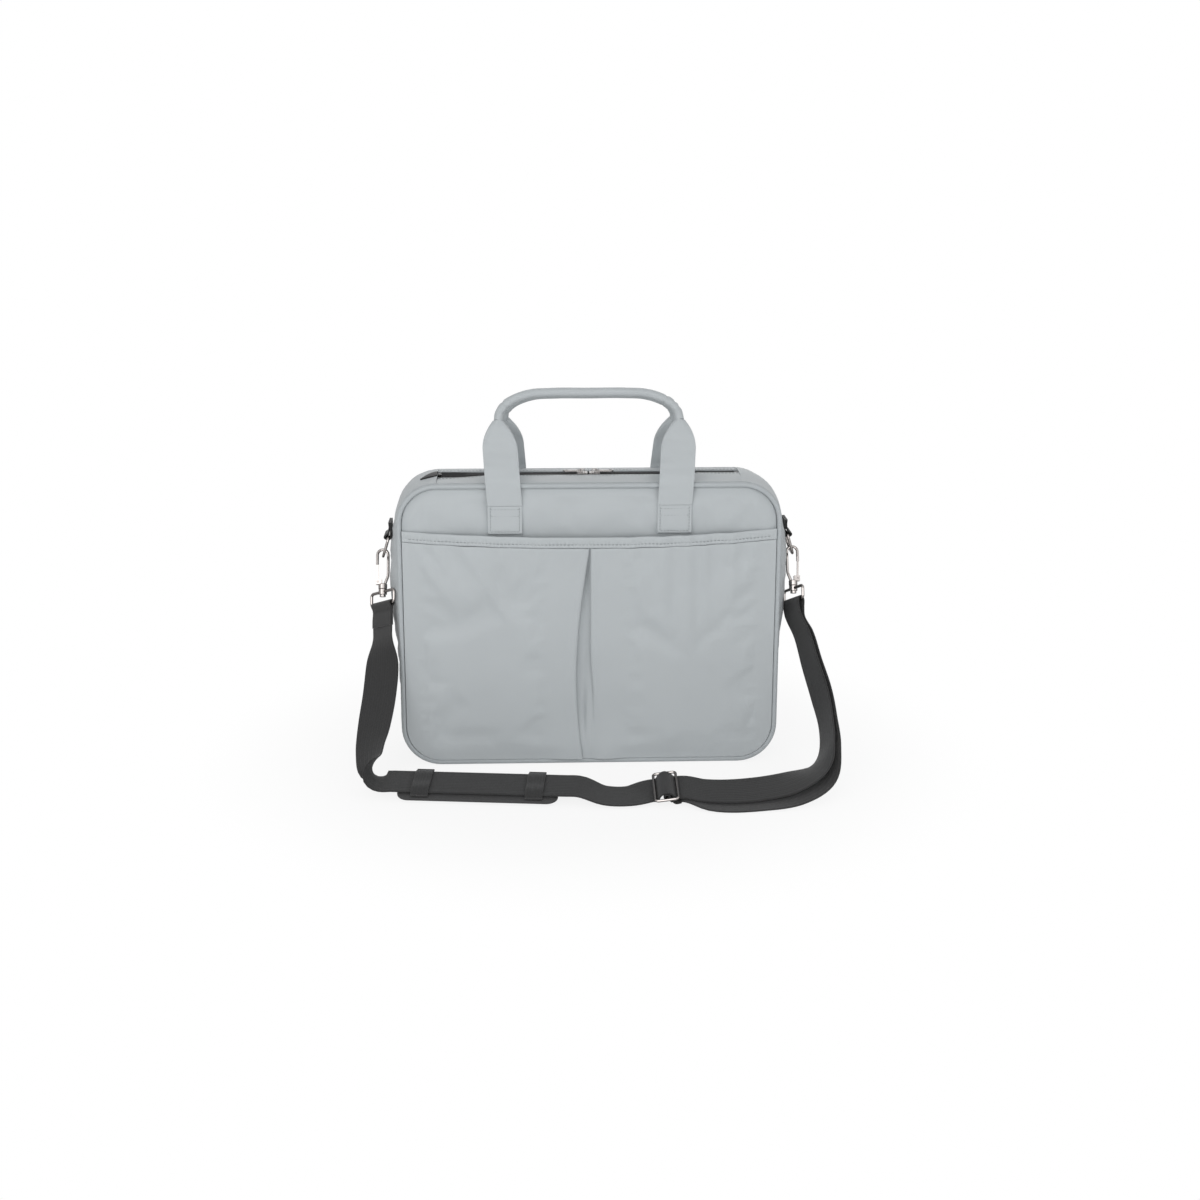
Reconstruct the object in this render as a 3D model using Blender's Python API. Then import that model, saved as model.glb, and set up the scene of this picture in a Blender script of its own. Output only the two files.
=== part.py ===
"""Soft laptop briefcase with two handles, a two-slider zip, a pleated pocket and a clip-on shoulder strap.

Metres, +Z up, front towards -Y. The origin is the middle of the flat bottom.
"""

import math

import bmesh
import bpy
from mathutils import Matrix, Vector

# Body
BAG_W = 0.400  # across the piping
BAG_H = 0.305  # floor to the top of the piping
BAG_D = 0.085  # between the two piping seams
CORNER_R = 0.042
PIPING_D = 0.0055
PANEL_T = 0.006
PANEL_PROUD = 0.001  # panel face ahead of the piping's centre
GUSSET_T = 0.003
SIDE_SWELL = 0.010  # most that the gusset swells past the piping
SWELL_DROP = 0.100  # top of the case down to the widest swell
SWELL_CAP = 0.060  # how fast the swell ends above there
SWELL_SPAN = 0.085  # and below
TOP_CROWN = 0.004  # zip line above the piping
CLEAR = 0.0003

# Inside
BOARD_T = 0.0025
DIVIDER_T = 0.005
DIVIDER_Y = 0.004
DIVIDER_DROP = 0.042  # top of the case down to the divider's top
HOLD_W = 0.040
HOLD_T = 0.002
HOLD_DROP = 0.020  # divider's top down to the hold-down strap

# Front pocket
POCKET_T = 0.001
POCKET_DROP = 0.055  # top of the case down to the hem's middle
POCKET_SWELL = 0.012
HEM_H = 0.0116
HEM_T = 0.0022
HEM_SAG = 0.006
PLEAT_FOLD = 0.016  # cloth folded behind each edge of the pleat
PLEAT_SPREAD = 0.014  # widest parting of the two edges
PLEAT_LAYER = 0.0015  # step from one folded layer to the next
FOLDS_X = -0.0036  # middle of the pleat's folds at the bottom seam
FOLDS_HALF = 0.022
SEAM_TURN = 0.08  # share of the pocket's height over which it leaves the bottom seam

# Zip
STRIP_T = 0.002
ZIP_HALF = 0.0075  # half of the tape left bare between the strips
TAPE_T = 0.0008
TAPE_LAP = 0.005
COIL_W = 0.0022
COIL_T = 0.0022
COIL_PART = 0.0008  # half gap between the two coils
STOP_L = 0.003
STOP_W = 0.007
SLIDER_L = 0.011
SLIDER_W = 0.0104
SLIDER_PLATE = 0.001
SLIDER_PART = 0.002  # gap between the noses of the two sliders
CROWN_W = 0.0026
CROWN_GAP = 0.0028
CROWN_SPAN = 0.0042
CROWN_T = 0.0009
PULL_L = 0.020
PULL_W = 0.0068
PULL_T = 0.0013
PULL_BAR = 0.0016
PULL_HOLE_D = 0.0032

# Handles
STRAP_FLAT_W = 0.036
STRAP_FLAT_T = 0.0026
ANCHOR_L = 0.030
HINGE_DROP = 0.0225  # top of the case down to the top of the sewn ends
LEG_SPREAD = 0.0875  # middle of the case to a sewn end
LEG_LEAN_Z = 0.004  # above the piping, where the legs start to lean in
LEG_RISE = 0.061  # top of the case up to where a leg becomes the grip
LEG_FLARE = 0.028  # height of the shoulders where a leg gathers into the grip
GRIP_D = 0.0093
GRIP_RISE = 0.0885  # top of the case up to the grip's axis
GRIP_REACH = 0.0938  # middle of the case to the grip's end
GRIP_STEP = 0.0035  # back grip below the front one
GRIP_PART = 0.0012  # gap between the two grips

# Side hardware
TAB_W = 0.025
WEB_T = 0.0016
TAB_DROP = 0.0625  # top of the case down to the ring's bar
TAB_TAIL = 0.0125
RING_WIRE_D = 0.0028
RING_DROP = 0.0224  # bar to bar
RING_CORNER = 0.0035
RING_BOW_R = 0.009
HOOK_GAP = 0.0006  # hook to the widest swell of the gusset
HOOK_SLACK = 0.0024  # ring to the crown of the hook
HOOK_SIDE = 0.0010  # ring to the middle of the hook, towards the case
HOOK_H = 0.0425  # swivel face up to the wire's centre at the top of the bow
HOOK_HALF = 0.0057
HOOK_WIRE_D = 0.003
HOOK_NOSE = 0.0265
COLLAR_D = 0.0092
COLLAR_H = 0.006
STEM_D = 0.004
STEM_HEAD_D = 0.0064
STEM_HEAD_T = 0.002
LUG_W = 0.0062
LUG_H = 0.0056
GATE_X = 0.005
GATE_Z = 0.0078
GATE_W = 0.0024
GATE_T = 0.0018
GATE_EYE_D = 0.0044
GATE_PIN_D = 0.0015
BOSS_D = 0.0088
BOSS_H = 0.0056
LOOP_WIRE_D = 0.0032
LOOP_H = 0.0135
LOOP_CORNER = 0.0035
HOOK_LEAN = 24.0  # degrees, hook drawn forward by the strap
LEFT_TURN = -54.3  # degrees, strap loop from the case's width
RIGHT_TURN = -73.0

# Shoulder strap
STRAP_W = 0.038
END_TAIL = 0.020
PAD_L = 0.164
PAD_W = 0.050
PAD_T = 0.006
KEEPER_W = 0.018
KEEPER_T = 0.0012
KEEPER_AT = 0.058  # middle of the pad to each keeper
PAD_TILT = 13.0  # degrees, far edge raised
RUN_HEADING = -6.3  # degrees, the strap's straight stretch under the pad
PAD_X = -0.116
PAD_Y = -0.136
GLIDE_X = 0.073
GLIDE_Y = -0.152
GLIDE_Z = 0.0138
GLIDE_TILT = 15.0
GLIDE_PITCH = 8.0
GLIDE_WIRE_D = 0.003
GLIDE_L = 0.026
GLIDE_CORNER = 0.003
GLIDE_TAIL = 0.0045
GLIDE_TAIL_DROP = 50.0  # degrees, sewn end below the slide

# Places that follow from the sizes
HALF_W = BAG_W / 2
PIPE_R = PIPING_D / 2
SEAM_HALF = BAG_D / 2 - PIPE_R - CLEAR
INSET = PIPING_D + CLEAR
PANEL_FACE = BAG_D / 2 + PANEL_PROUD
PANEL_INNER = PANEL_FACE - PANEL_T
TOP_HALF = HALF_W - CORNER_R
SWELL_Z = BAG_H - SWELL_DROP
ZIP_Z = BAG_H + TOP_CROWN - STRIP_T - CLEAR - TAPE_T / 2
HINGE_Z = BAG_H - HINGE_DROP
LEG_Y = BAG_D / 2 + PIPE_R + CLEAR + STRAP_FLAT_T / 2
GRIP_Y = (GRIP_D + GRIP_PART) / 2
RING_Z = BAG_H - TAB_DROP
LOOP_R = RING_WIRE_D / 2 + CLEAR + WEB_T
LOOP_HALF = STRAP_W / 2 + CLEAR + LOOP_CORNER
HOOK_X = HALF_W + SIDE_SWELL + HOOK_GAP + HOOK_HALF + HOOK_WIRE_D / 2


def material(name, colour, roughness, metallic=0.0):
    """Principled material of one colour."""
    made = bpy.data.materials.new(name)
    made.use_nodes = True
    shader = made.node_tree.nodes["Principled BSDF"]
    shader.inputs["Base Color"].default_value = (*colour, 1.0)
    shader.inputs["Roughness"].default_value = roughness
    shader.inputs["Metallic"].default_value = metallic
    return made


def node(name, bm, mat, origin=(0, 0, 0), smooth=True):
    """Object from a bmesh in world coordinates, its origin moved to a joint's axis."""
    bmesh.ops.recalc_face_normals(bm, faces=bm.faces)
    bmesh.ops.translate(bm, verts=bm.verts, vec=-Vector(origin))
    mesh = bpy.data.meshes.new(name)
    bm.to_mesh(mesh)
    bm.free()
    mesh.materials.append(mat)
    if smooth:
        mesh.shade_smooth()
        mesh.set_sharp_from_angle(angle=math.radians(40))
    obj = bpy.data.objects.new(name, mesh)
    obj.location = origin
    bpy.context.scene.collection.objects.link(obj)
    return obj


def helper(name, bm):
    """Cutter or joined shape that isn't a piece by itself."""
    obj = node(name, bm, MATERIALS["nickel"], smooth=False)
    obj.hide_render = True
    obj.display_type = "WIRE"
    return obj


def combine(obj, other, operation):
    step = obj.modifiers.new(other.name, "BOOLEAN")
    step.operation = operation
    step.solver = "EXACT"
    step.object = other


def soften(obj, width, segments=1):
    step = obj.modifiers.new("Bevel", "BEVEL")
    step.width = width
    step.segments = segments
    step.limit_method = "ANGLE"
    step.angle_limit = math.radians(40)


def lofted(rings, closed_path=False):
    """Closed skin through rings of equal point counts, capped unless the path closes on itself."""
    bm = bmesh.new()
    rows = [[bm.verts.new(p) for p in ring] for ring in rings]
    count = len(rows[0])
    spans = len(rows) if closed_path else len(rows) - 1
    for i in range(spans):
        low, high = rows[i], rows[(i + 1) % len(rows)]
        for j in range(count):
            k = (j + 1) % count
            bm.faces.new((low[j], low[k], high[k], high[j]))
    if not closed_path:
        bm.faces.new(rows[0])
        bm.faces.new(rows[-1])
    return bm


def sheet(outer, inner):
    """Closed body between two grids of equal size."""
    bm = bmesh.new()
    top = [[bm.verts.new(p) for p in row] for row in outer]
    low = [[bm.verts.new(p) for p in row] for row in inner]
    rows, cols = len(top), len(top[0])
    for i in range(rows - 1):
        for j in range(cols - 1):
            bm.faces.new((top[i][j], top[i][j + 1], top[i + 1][j + 1], top[i + 1][j]))
            bm.faces.new((low[i][j], low[i + 1][j], low[i + 1][j + 1], low[i][j + 1]))
    rim = [(0, j) for j in range(cols)]
    rim += [(i, cols - 1) for i in range(1, rows)]
    rim += [(rows - 1, j) for j in range(cols - 2, -1, -1)]
    rim += [(i, 0) for i in range(rows - 2, 0, -1)]
    for (a, b), (c, d) in zip(rim, rim[1:] + rim[:1]):
        bm.faces.new((top[a][b], low[a][b], low[c][d], top[c][d]))
    return bm


def plate(outline, holes, depth, matrix=Matrix()):
    """Flat outline with holes in local XY, extruded by depth about its mid-plane and placed."""
    bm = bmesh.new()
    edges = []
    for loop in [outline, *holes]:
        verts = [bm.verts.new((x, y, -depth / 2)) for x, y in loop]
        edges += [bm.edges.new(pair) for pair in zip(verts, verts[1:] + verts[:1])]
    bmesh.ops.triangle_fill(bm, use_beauty=True, use_dissolve=False, edges=edges)
    pushed = bmesh.ops.extrude_face_region(bm, geom=list(bm.faces))
    moved = [v for v in pushed["geom"] if isinstance(v, bmesh.types.BMVert)]
    bmesh.ops.translate(bm, verts=moved, vec=(0, 0, depth))
    bmesh.ops.transform(bm, matrix=matrix, verts=bm.verts)
    return bm


def arc(centre, radius, start, end, steps):
    """Points on a circle from one angle to another, in degrees, both ends included."""
    turns = [math.radians(start + (end - start) * i / steps) for i in range(steps + 1)]
    return [(centre[0] + radius * math.cos(t), centre[1] + radius * math.sin(t)) for t in turns]


def rounded(half_w, low, high, radius, steps=6, top_radius=None):
    """Rounded rectangle, counter-clockwise from the bottom right corner."""
    top = radius if top_radius is None else top_radius
    points = arc((half_w - radius, low + radius), radius, -90, 0, steps)
    points += arc((half_w - top, high - top), top, 0, 90, steps)
    points += arc((top - half_w, high - top), top, 90, 180, steps)
    points += arc((radius - half_w, low + radius), radius, 180, 270, steps)
    return points


def through(points, per, carried=None):
    """Smooth curve through points, or what is carried along them, with a number of steps in each span."""
    spans = [(b - a).length for a, b in zip(points, points[1:])]
    values = carried or points
    rates = [(b - a) / d for a, b, d in zip(values, values[1:], spans)]
    slopes = [rates[0]]
    for before, after, d, e in zip(rates, rates[1:], spans, spans[1:]):
        slopes.append((before * e + after * d) / (d + e))
    slopes.append(rates[-1])
    found = []
    for i, span in enumerate(spans):
        for k in range(per):
            t = k / per
            start = values[i] * (2 * t**3 - 3 * t**2 + 1) + slopes[i] * span * (t**3 - 2 * t**2 + t)
            end = values[i + 1] * (3 * t**2 - 2 * t**3) + slopes[i + 1] * span * (t**3 - t**2)
            found.append(start + end)
    return [*found, values[-1].copy()]


def tangents(points, closed=False, ends=None):
    """Directions along points; ends fixes the first and the last where a piece meets another squarely."""
    count = len(points)
    found = []
    for i in range(count):
        before = points[i - 1] if closed or i else points[0]
        after = points[(i + 1) % count] if closed or i < count - 1 else points[-1]
        found.append((after - before).normalized())
    if ends:
        found[0], found[-1] = (Vector(end).normalized() for end in ends)
    return found


def tube(points, radius, sides=8, closed=False, ends=None):
    """Round wire along points that lie about one plane."""
    along = tangents(points, closed, ends)
    normal = sum((a.cross(b) for a, b in zip(along, along[1:])), Vector()).normalized()
    if normal.length < 0.5:
        normal = along[0].orthogonal().normalized()
    rings = []
    for point, tangent in zip(points, along):
        side = tangent.cross(normal).normalized()
        up = side.cross(tangent)
        ring = []
        for k in range(sides):
            turn = 2 * math.pi * (k + 0.5) / sides
            ring.append(point + radius * (math.cos(turn) * side + math.sin(turn) * up))
        rings.append(ring)
    return lofted(rings, closed)


def turned(profile, steps=12):
    """Solid of revolution about local Z from (radius, height) points, bottom to top."""
    rings = []
    for radius, height in profile:
        rings.append([Vector((*p, height)) for p in arc((0, 0), radius, 0, 360, steps)[:-1]])
    return lofted(rings)


def rod(radius, start, end, steps=12):
    """Straight round bar between two points."""
    axis = Vector(end) - Vector(start)
    bm = turned([(radius, 0.0), (radius, axis.length)], steps)
    place = Matrix.Translation(start) @ axis.to_track_quat("Z", "Y").to_matrix().to_4x4()
    bmesh.ops.transform(bm, matrix=place, verts=bm.verts)
    return bm


def box(low, high):
    bm = bmesh.new()
    bmesh.ops.create_cube(bm, size=1.0)
    size = Vector(high) - Vector(low)
    bmesh.ops.scale(bm, vec=size, verts=bm.verts)
    bmesh.ops.translate(bm, vec=(Vector(high) + Vector(low)) / 2, verts=bm.verts)
    return bm


def ease(t):
    t = min(1.0, max(0.0, t))
    return t * t * (3 - 2 * t)


def frame_of(x_axis, z_axis, origin):
    """Matrix from two axes; Z is kept square to X."""
    x_axis = Vector(x_axis).normalized()
    y_axis = Vector(z_axis).cross(x_axis).normalized()
    z_axis = x_axis.cross(y_axis)
    turn = Matrix((x_axis, y_axis, z_axis)).transposed().to_4x4()
    return Matrix.Translation(origin) @ turn


# Body


def swell(z):
    """How far the gusset's middle stands out past the piping at a height."""
    span = SWELL_CAP if z > SWELL_Z else SWELL_SPAN
    side = SIDE_SWELL * math.exp(-(((z - SWELL_Z) / span) ** 2)) * ease(z / (1.6 * CORNER_R))
    return side + (TOP_CROWN - side) * ease((z - BAG_H + CORNER_R) / CORNER_R)


def crown(y):
    return 1 - (y / SEAM_HALF) ** 2


RING_X = HALF_W + swell(RING_Z) + CLEAR + LOOP_R
RING_LEAN = math.asin((HOOK_X - HOOK_SIDE - RING_X) / RING_DROP)
HOOK_CROWN = HOOK_H - HOOK_WIRE_D / 2 - HOOK_SLACK - RING_WIRE_D / 2
HOOK_Z = RING_Z - RING_DROP * math.cos(RING_LEAN) - HOOK_CROWN
BAR_Z = HOOK_Z - BOSS_H / 2 - LOOP_H


def make_panel(name, side):
    outline = rounded(HALF_W - INSET, INSET, BAG_H - INSET, CORNER_R - INSET)
    place = frame_of((1, 0, 0), (0, -1, 0), (0, side * (PANEL_FACE - PANEL_T / 2), 0))
    obj = node(name, plate(outline, [], PANEL_T, place), MATERIALS["fabric"])
    soften(obj, 0.0012)
    return obj


def make_piping(name, side):
    outline = rounded(HALF_W - PIPE_R, PIPE_R + CLEAR, BAG_H - PIPE_R, CORNER_R - PIPE_R)
    points = [Vector((x, side * BAG_D / 2, z)) for x, z in outline]
    return node(name, tube(points, PIPE_R, 8, True), MATERIALS["piping"])


def make_gusset():
    """Sides, bottom and rounded corners in one band, swelling between the two seams."""
    stations = []
    for x, z in arc((-TOP_HALF, BAG_H - CORNER_R), CORNER_R, 90, 180, 6):
        stations.append((x, z, x + TOP_HALF, z - BAG_H + CORNER_R))
    for i in range(1, 6):
        z = BAG_H - CORNER_R + (2 * CORNER_R - BAG_H) * i / 6
        stations.append((-HALF_W, z, -1, 0))
    for x, z in arc((-TOP_HALF, CORNER_R), CORNER_R, 180, 270, 6):
        stations.append((x, z, x + TOP_HALF, z - CORNER_R))
    left = list(stations)
    stations += [(-x, z, -nx, nz) for x, z, nx, nz in reversed(left)]
    outer, inner = [], []
    for x, z, nx, nz in stations:
        out = Vector((nx, 0, nz)).normalized()
        rows = []
        for depth in (0.0, GUSSET_T):
            row = []
            for i in range(7):
                y = SEAM_HALF * (i / 3 - 1)
                row.append(Vector((x, y, z)) + out * (swell(z) * crown(y) - depth))
            rows.append(row)
        outer.append(rows[0])
        inner.append(rows[1])
    return node("gusset_band", sheet(outer, inner), MATERIALS["fabric"])


def make_inside():
    half_y = PANEL_INNER - CLEAR
    low = GUSSET_T + CLEAR
    board = node(
        "base_board",
        box((-TOP_HALF, -half_y, low), (TOP_HALF, half_y, low + BOARD_T)),
        MATERIALS["board"],
        smooth=False,
    )
    soften(board, 0.0006)
    base = low + BOARD_T + CLEAR
    top = BAG_H - DIVIDER_DROP
    outline = rounded(HALF_W - GUSSET_T - CLEAR, base, top, CORNER_R - GUSSET_T, 6, CORNER_R / 2)
    place = frame_of((1, 0, 0), (0, -1, 0), (0, DIVIDER_Y, 0))
    divider = node("divider", plate(outline, [], DIVIDER_T, place), MATERIALS["lining"])
    soften(divider, 0.0012)
    near = DIVIDER_Y + DIVIDER_T / 2 + CLEAR
    level = top - HOLD_DROP
    hold = node(
        "laptop_strap",
        box((-HOLD_W / 2, near, level - HOLD_T / 2), (HOLD_W / 2, half_y, level + HOLD_T / 2)),
        MATERIALS["webbing"],
        smooth=False,
    )
    soften(hold, 0.0004)


# Front pocket


def pocket_half(z):
    radius = CORNER_R - INSET
    half = HALF_W - INSET
    drop = INSET + radius - z
    if drop <= 0:
        return half
    return half - radius + math.sqrt(max(0.0, radius**2 - drop**2))


def hem_low(x):
    return BAG_H - POCKET_DROP - HEM_H + HEM_SAG * (x / (HALF_W - INSET)) ** 2


def pocket_out(x, v):
    """Pocket's mid-surface, out from the panel's face; v runs from the bottom seam to the hem."""
    half = pocket_half(INSET + v * (BAG_H - POCKET_DROP - HEM_H - INSET))
    swell_x = max(0.0, 1 - abs(x / half) ** 2.2)
    rise = 0.32 + 0.68 * math.sin(math.pi / 2 * min(1.0, 1.7 * v)) - 0.16 * ease(v)
    sewn = (2 * PLEAT_LAYER + CLEAR / 2) * (1 - ease((abs(x - FOLDS_X) - FOLDS_HALF) / FOLDS_HALF))
    return CLEAR + POCKET_T / 2 + sewn + (POCKET_SWELL * swell_x * rise - sewn) * ease(v / SEAM_TURN)


def pleat_line(v):
    """(x, layers back) points across the pocket at one level, through the inverted pleat."""
    z = INSET + v * (BAG_H - POCKET_DROP - HEM_H - INSET)
    half = pocket_half(z)
    h = PLEAT_LAYER / 2
    left = -h - PLEAT_SPREAD * math.sin(0.83 * math.pi * (1 - v))
    right = h
    side = [half * s for s in (1.0, 0.93, 0.82, 0.66, 0.48, 0.3)]
    line = [(-x, 0) for x in side]
    line += [(left - PLEAT_FOLD, 0), (left - h, 0), (left, h), (left - h, 2 * h)]
    line += [(left - PLEAT_FOLD + h, 2 * h), (left - PLEAT_FOLD, 3 * h), (left - PLEAT_FOLD + h, 4 * h)]
    line += [((left + right) / 2, 4 * h)]
    line += [(right + PLEAT_FOLD - h, 4 * h), (right + PLEAT_FOLD, 3 * h), (right + PLEAT_FOLD - h, 2 * h)]
    line += [(right + h, 2 * h), (right, h), (right + h, 0), (right + PLEAT_FOLD, 0)]
    return line + [(x, 0) for x in reversed(side)]


def make_pocket():
    """Pocket cloth with its inverted pleat folded from the one sheet, and the hem along its top."""
    outer, inner = [], []
    rise = BAG_H - POCKET_DROP - HEM_H - INSET
    radius = CORNER_R - INSET
    levels = [radius * (1 - math.cos(math.radians(a))) / rise for a in (0, 20, 40, 60, 90)]
    levels += [levels[-1] + (1 - levels[-1]) * i / 5 for i in range(1, 6)]
    for v in levels:
        line = [Vector((x, -PANEL_FACE - pocket_out(x, v) + d)) for x, d in pleat_line(v)]
        along = tangents(line)
        front, back = [], []
        for j, point in enumerate(line):
            cut = 1.0
            if 0 < j < len(line) - 1:
                cut = max(0.7, along[j].dot((line[j + 1] - point).normalized()))
            step = Vector((along[j].y, -along[j].x)) * POCKET_T / 2 / cut
            z = INSET + v * (hem_low(point.x) - INSET)
            for row, p in ((front, point + step), (back, point - step)):
                row.append(Vector((p.x, p.y, z)))
        outer.append(front)
        inner.append(back)
    node("front_pocket", sheet(outer, inner), MATERIALS["fabric"])

    half = HALF_W - INSET
    outer, inner = [], []
    for i in range(25):
        x = half * (i / 12 - 1)
        y = -PANEL_FACE - max(pocket_out(x, 1.0), CLEAR + HEM_T / 2)
        low = hem_low(x) + CLEAR
        outer.append([Vector((x, y - HEM_T / 2, z)) for z in (low, low + HEM_H)])
        inner.append([Vector((x, y + HEM_T / 2, z)) for z in (low, low + HEM_H)])
    hem = node("pocket_hem", sheet(outer, inner), MATERIALS["fabric"])
    soften(hem, 0.0006)


# Zip


def prism(section, half_x, origin):
    """Section in (y, z) run along X on both sides of the middle."""
    bm = lofted([[Vector((x, y, z)) for y, z in section] for x in (-half_x, half_x)])
    bmesh.ops.translate(bm, verts=bm.verts, vec=Vector(origin))
    return bm


def strip_top(y):
    return BAG_H + TOP_CROWN * crown(y)


def make_mouth(name, side):
    """Top strip of one side and the zip tape sewn under its edge, turning about the piping."""
    hinge = (0, side * SEAM_HALF, strip_top(SEAM_HALF))
    ys = [SEAM_HALF + (ZIP_HALF - SEAM_HALF) * i / 5 for i in range(6)]
    section = [(side * y, strip_top(y)) for y in ys]
    section += [(side * y, strip_top(y) - STRIP_T) for y in reversed(ys)]
    strip = node(f"{name}_strip", prism(section, TOP_HALF - CLEAR, (0, 0, 0)), MATERIALS["fabric"], hinge)

    under = strip_top(ZIP_HALF + TAPE_LAP) - STRIP_T - CLEAR
    lap = ZIP_HALF + TAPE_LAP
    coil = COIL_PART + COIL_W
    section = [(lap, under), (ZIP_HALF, min(under + TAPE_T, ZIP_Z + TAPE_T / 2)), (coil, ZIP_Z + TAPE_T / 2)]
    section += [(coil, ZIP_Z + COIL_T / 2), (COIL_PART, ZIP_Z + COIL_T / 2)]
    section += [(COIL_PART, ZIP_Z - COIL_T / 2), (coil, ZIP_Z - COIL_T / 2), (coil, ZIP_Z - TAPE_T / 2)]
    section += [(ZIP_HALF, min(under, ZIP_Z - TAPE_T / 2)), (lap, under - TAPE_T)]
    section = [(side * y, z) for y, z in section]
    half_x = TOP_HALF - STOP_L - 2 * CLEAR
    node(f"{name}_zip_tape", prism(section, half_x, (0, 0, 0)), MATERIALS["zip"], hinge)


def make_stop(name, side):
    inner = TOP_HALF - CLEAR - STOP_L
    ends = sorted((side * inner, side * (inner + STOP_L)))
    half_z = COIL_T / 2 + CLEAR
    stop = box((ends[0], -STOP_W / 2, ZIP_Z - half_z), (ends[1], STOP_W / 2, ZIP_Z + half_z))
    soften(node(name, stop, MATERIALS["nickel"], smooth=False), 0.0005)


def make_slider(name, side):
    """Two channel plates on a wedge post, with a crown that keeps the pull."""
    x = side * (SLIDER_L + SLIDER_PART) / 2
    room = COIL_T / 2 + CLEAR
    top = room + SLIDER_PLATE
    slot = TAPE_T / 2 + CLEAR
    cheek = COIL_PART + COIL_W + CLEAR
    half = SLIDER_W / 2
    origin = (x, 0, ZIP_Z)
    section = [(-half, slot), (-cheek, slot), (-cheek, room), (cheek, room), (cheek, slot), (half, slot)]
    section += [(half, top), (-half, top)]
    body = node(name, prism(section, SLIDER_L / 2, origin), MATERIALS["nickel"], origin, smooth=False)
    lower = prism([(y, -z) for y, z in section], SLIDER_L / 2, origin)
    combine(body, helper(f"{name}_lower", lower), "UNION")
    post_half = COIL_PART - CLEAR
    nose = x - side * (SLIDER_L / 2 - 0.0015)
    post = box((nose - 0.0012, -post_half, ZIP_Z - top + 0.0003), (nose + 0.0012, post_half, ZIP_Z + top - 0.0003))
    combine(body, helper(f"{name}_post", post), "UNION")
    outline = [(-CROWN_SPAN / 2 - CROWN_T, -0.0004), (-CROWN_SPAN / 2, -0.0004)]
    outline += [(-CROWN_SPAN / 2, CROWN_GAP), (CROWN_SPAN / 2, CROWN_GAP), (CROWN_SPAN / 2, -0.0004)]
    outline += [(CROWN_SPAN / 2 + CROWN_T, -0.0004), (CROWN_SPAN / 2 + CROWN_T, CROWN_GAP)]
    outline += [(CROWN_SPAN / 2, CROWN_GAP + CROWN_T), (-CROWN_SPAN / 2, CROWN_GAP + CROWN_T)]
    outline += [(-CROWN_SPAN / 2 - CROWN_T, CROWN_GAP)]
    place = frame_of((1, 0, 0), (0, -1, 0), (x, 0, ZIP_Z + top))
    combine(body, helper(f"{name}_crown", plate(outline, [], CROWN_W, place)), "UNION")

    hinge = (x, 0, ZIP_Z + top + CROWN_GAP / 2)
    half_in = CROWN_W / 2 + 2 * CLEAR
    window = [(PULL_BAR / 2, -half_in), (CROWN_SPAN + CROWN_T, -half_in), (CROWN_SPAN + CROWN_T, half_in)]
    window += [(PULL_BAR / 2, half_in)]
    narrow = PULL_W / 2 - 0.0005
    outline = [(-PULL_BAR / 2, -narrow), (CROWN_SPAN + 2 * CROWN_T, -narrow)]
    outline += arc((PULL_L - PULL_W / 2, 0), PULL_W / 2, -90, 90, 8)
    outline += [(CROWN_SPAN + 2 * CROWN_T, narrow), (-PULL_BAR / 2, narrow)]
    eye = arc((PULL_L - PULL_W / 2, 0), PULL_HOLE_D / 2, 0, 360, 10)[:-1]
    place = frame_of((side, 0, 0), (0, 0, side), hinge)
    node(f"{name.split('_')[0]}_pull", plate(outline, [window, eye], PULL_T, place), MATERIALS["nickel"], hinge)


# Handles


def handle_top(side):
    """Height of a handle's necks and of its grip's axis."""
    step = GRIP_STEP if side > 0 else 0.0
    return BAG_H + LEG_RISE - step, BAG_H + GRIP_RISE - step


def leg_point(side, x, z):
    """Point on a handle's leaning mid-surface: upright past the piping, then in over the zip."""
    start = BAG_H + LEG_LEAN_Z
    slope = (LEG_Y - GRIP_Y) / (handle_top(side)[1] - start)
    return Vector((x, side * (LEG_Y - slope * max(0.0, z - start)), z))


def section_ring(centre, across, out, half_w, half_t, square):
    ring = []
    for k in range(12):
        turn = 2 * math.pi * (k + 0.5) / 12
        a = math.copysign(abs(math.cos(turn)) ** square, math.cos(turn))
        b = math.copysign(abs(math.sin(turn)) ** square, math.sin(turn))
        ring.append(centre + across * (half_w * a) + out * (half_t * b))
    return ring


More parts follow.
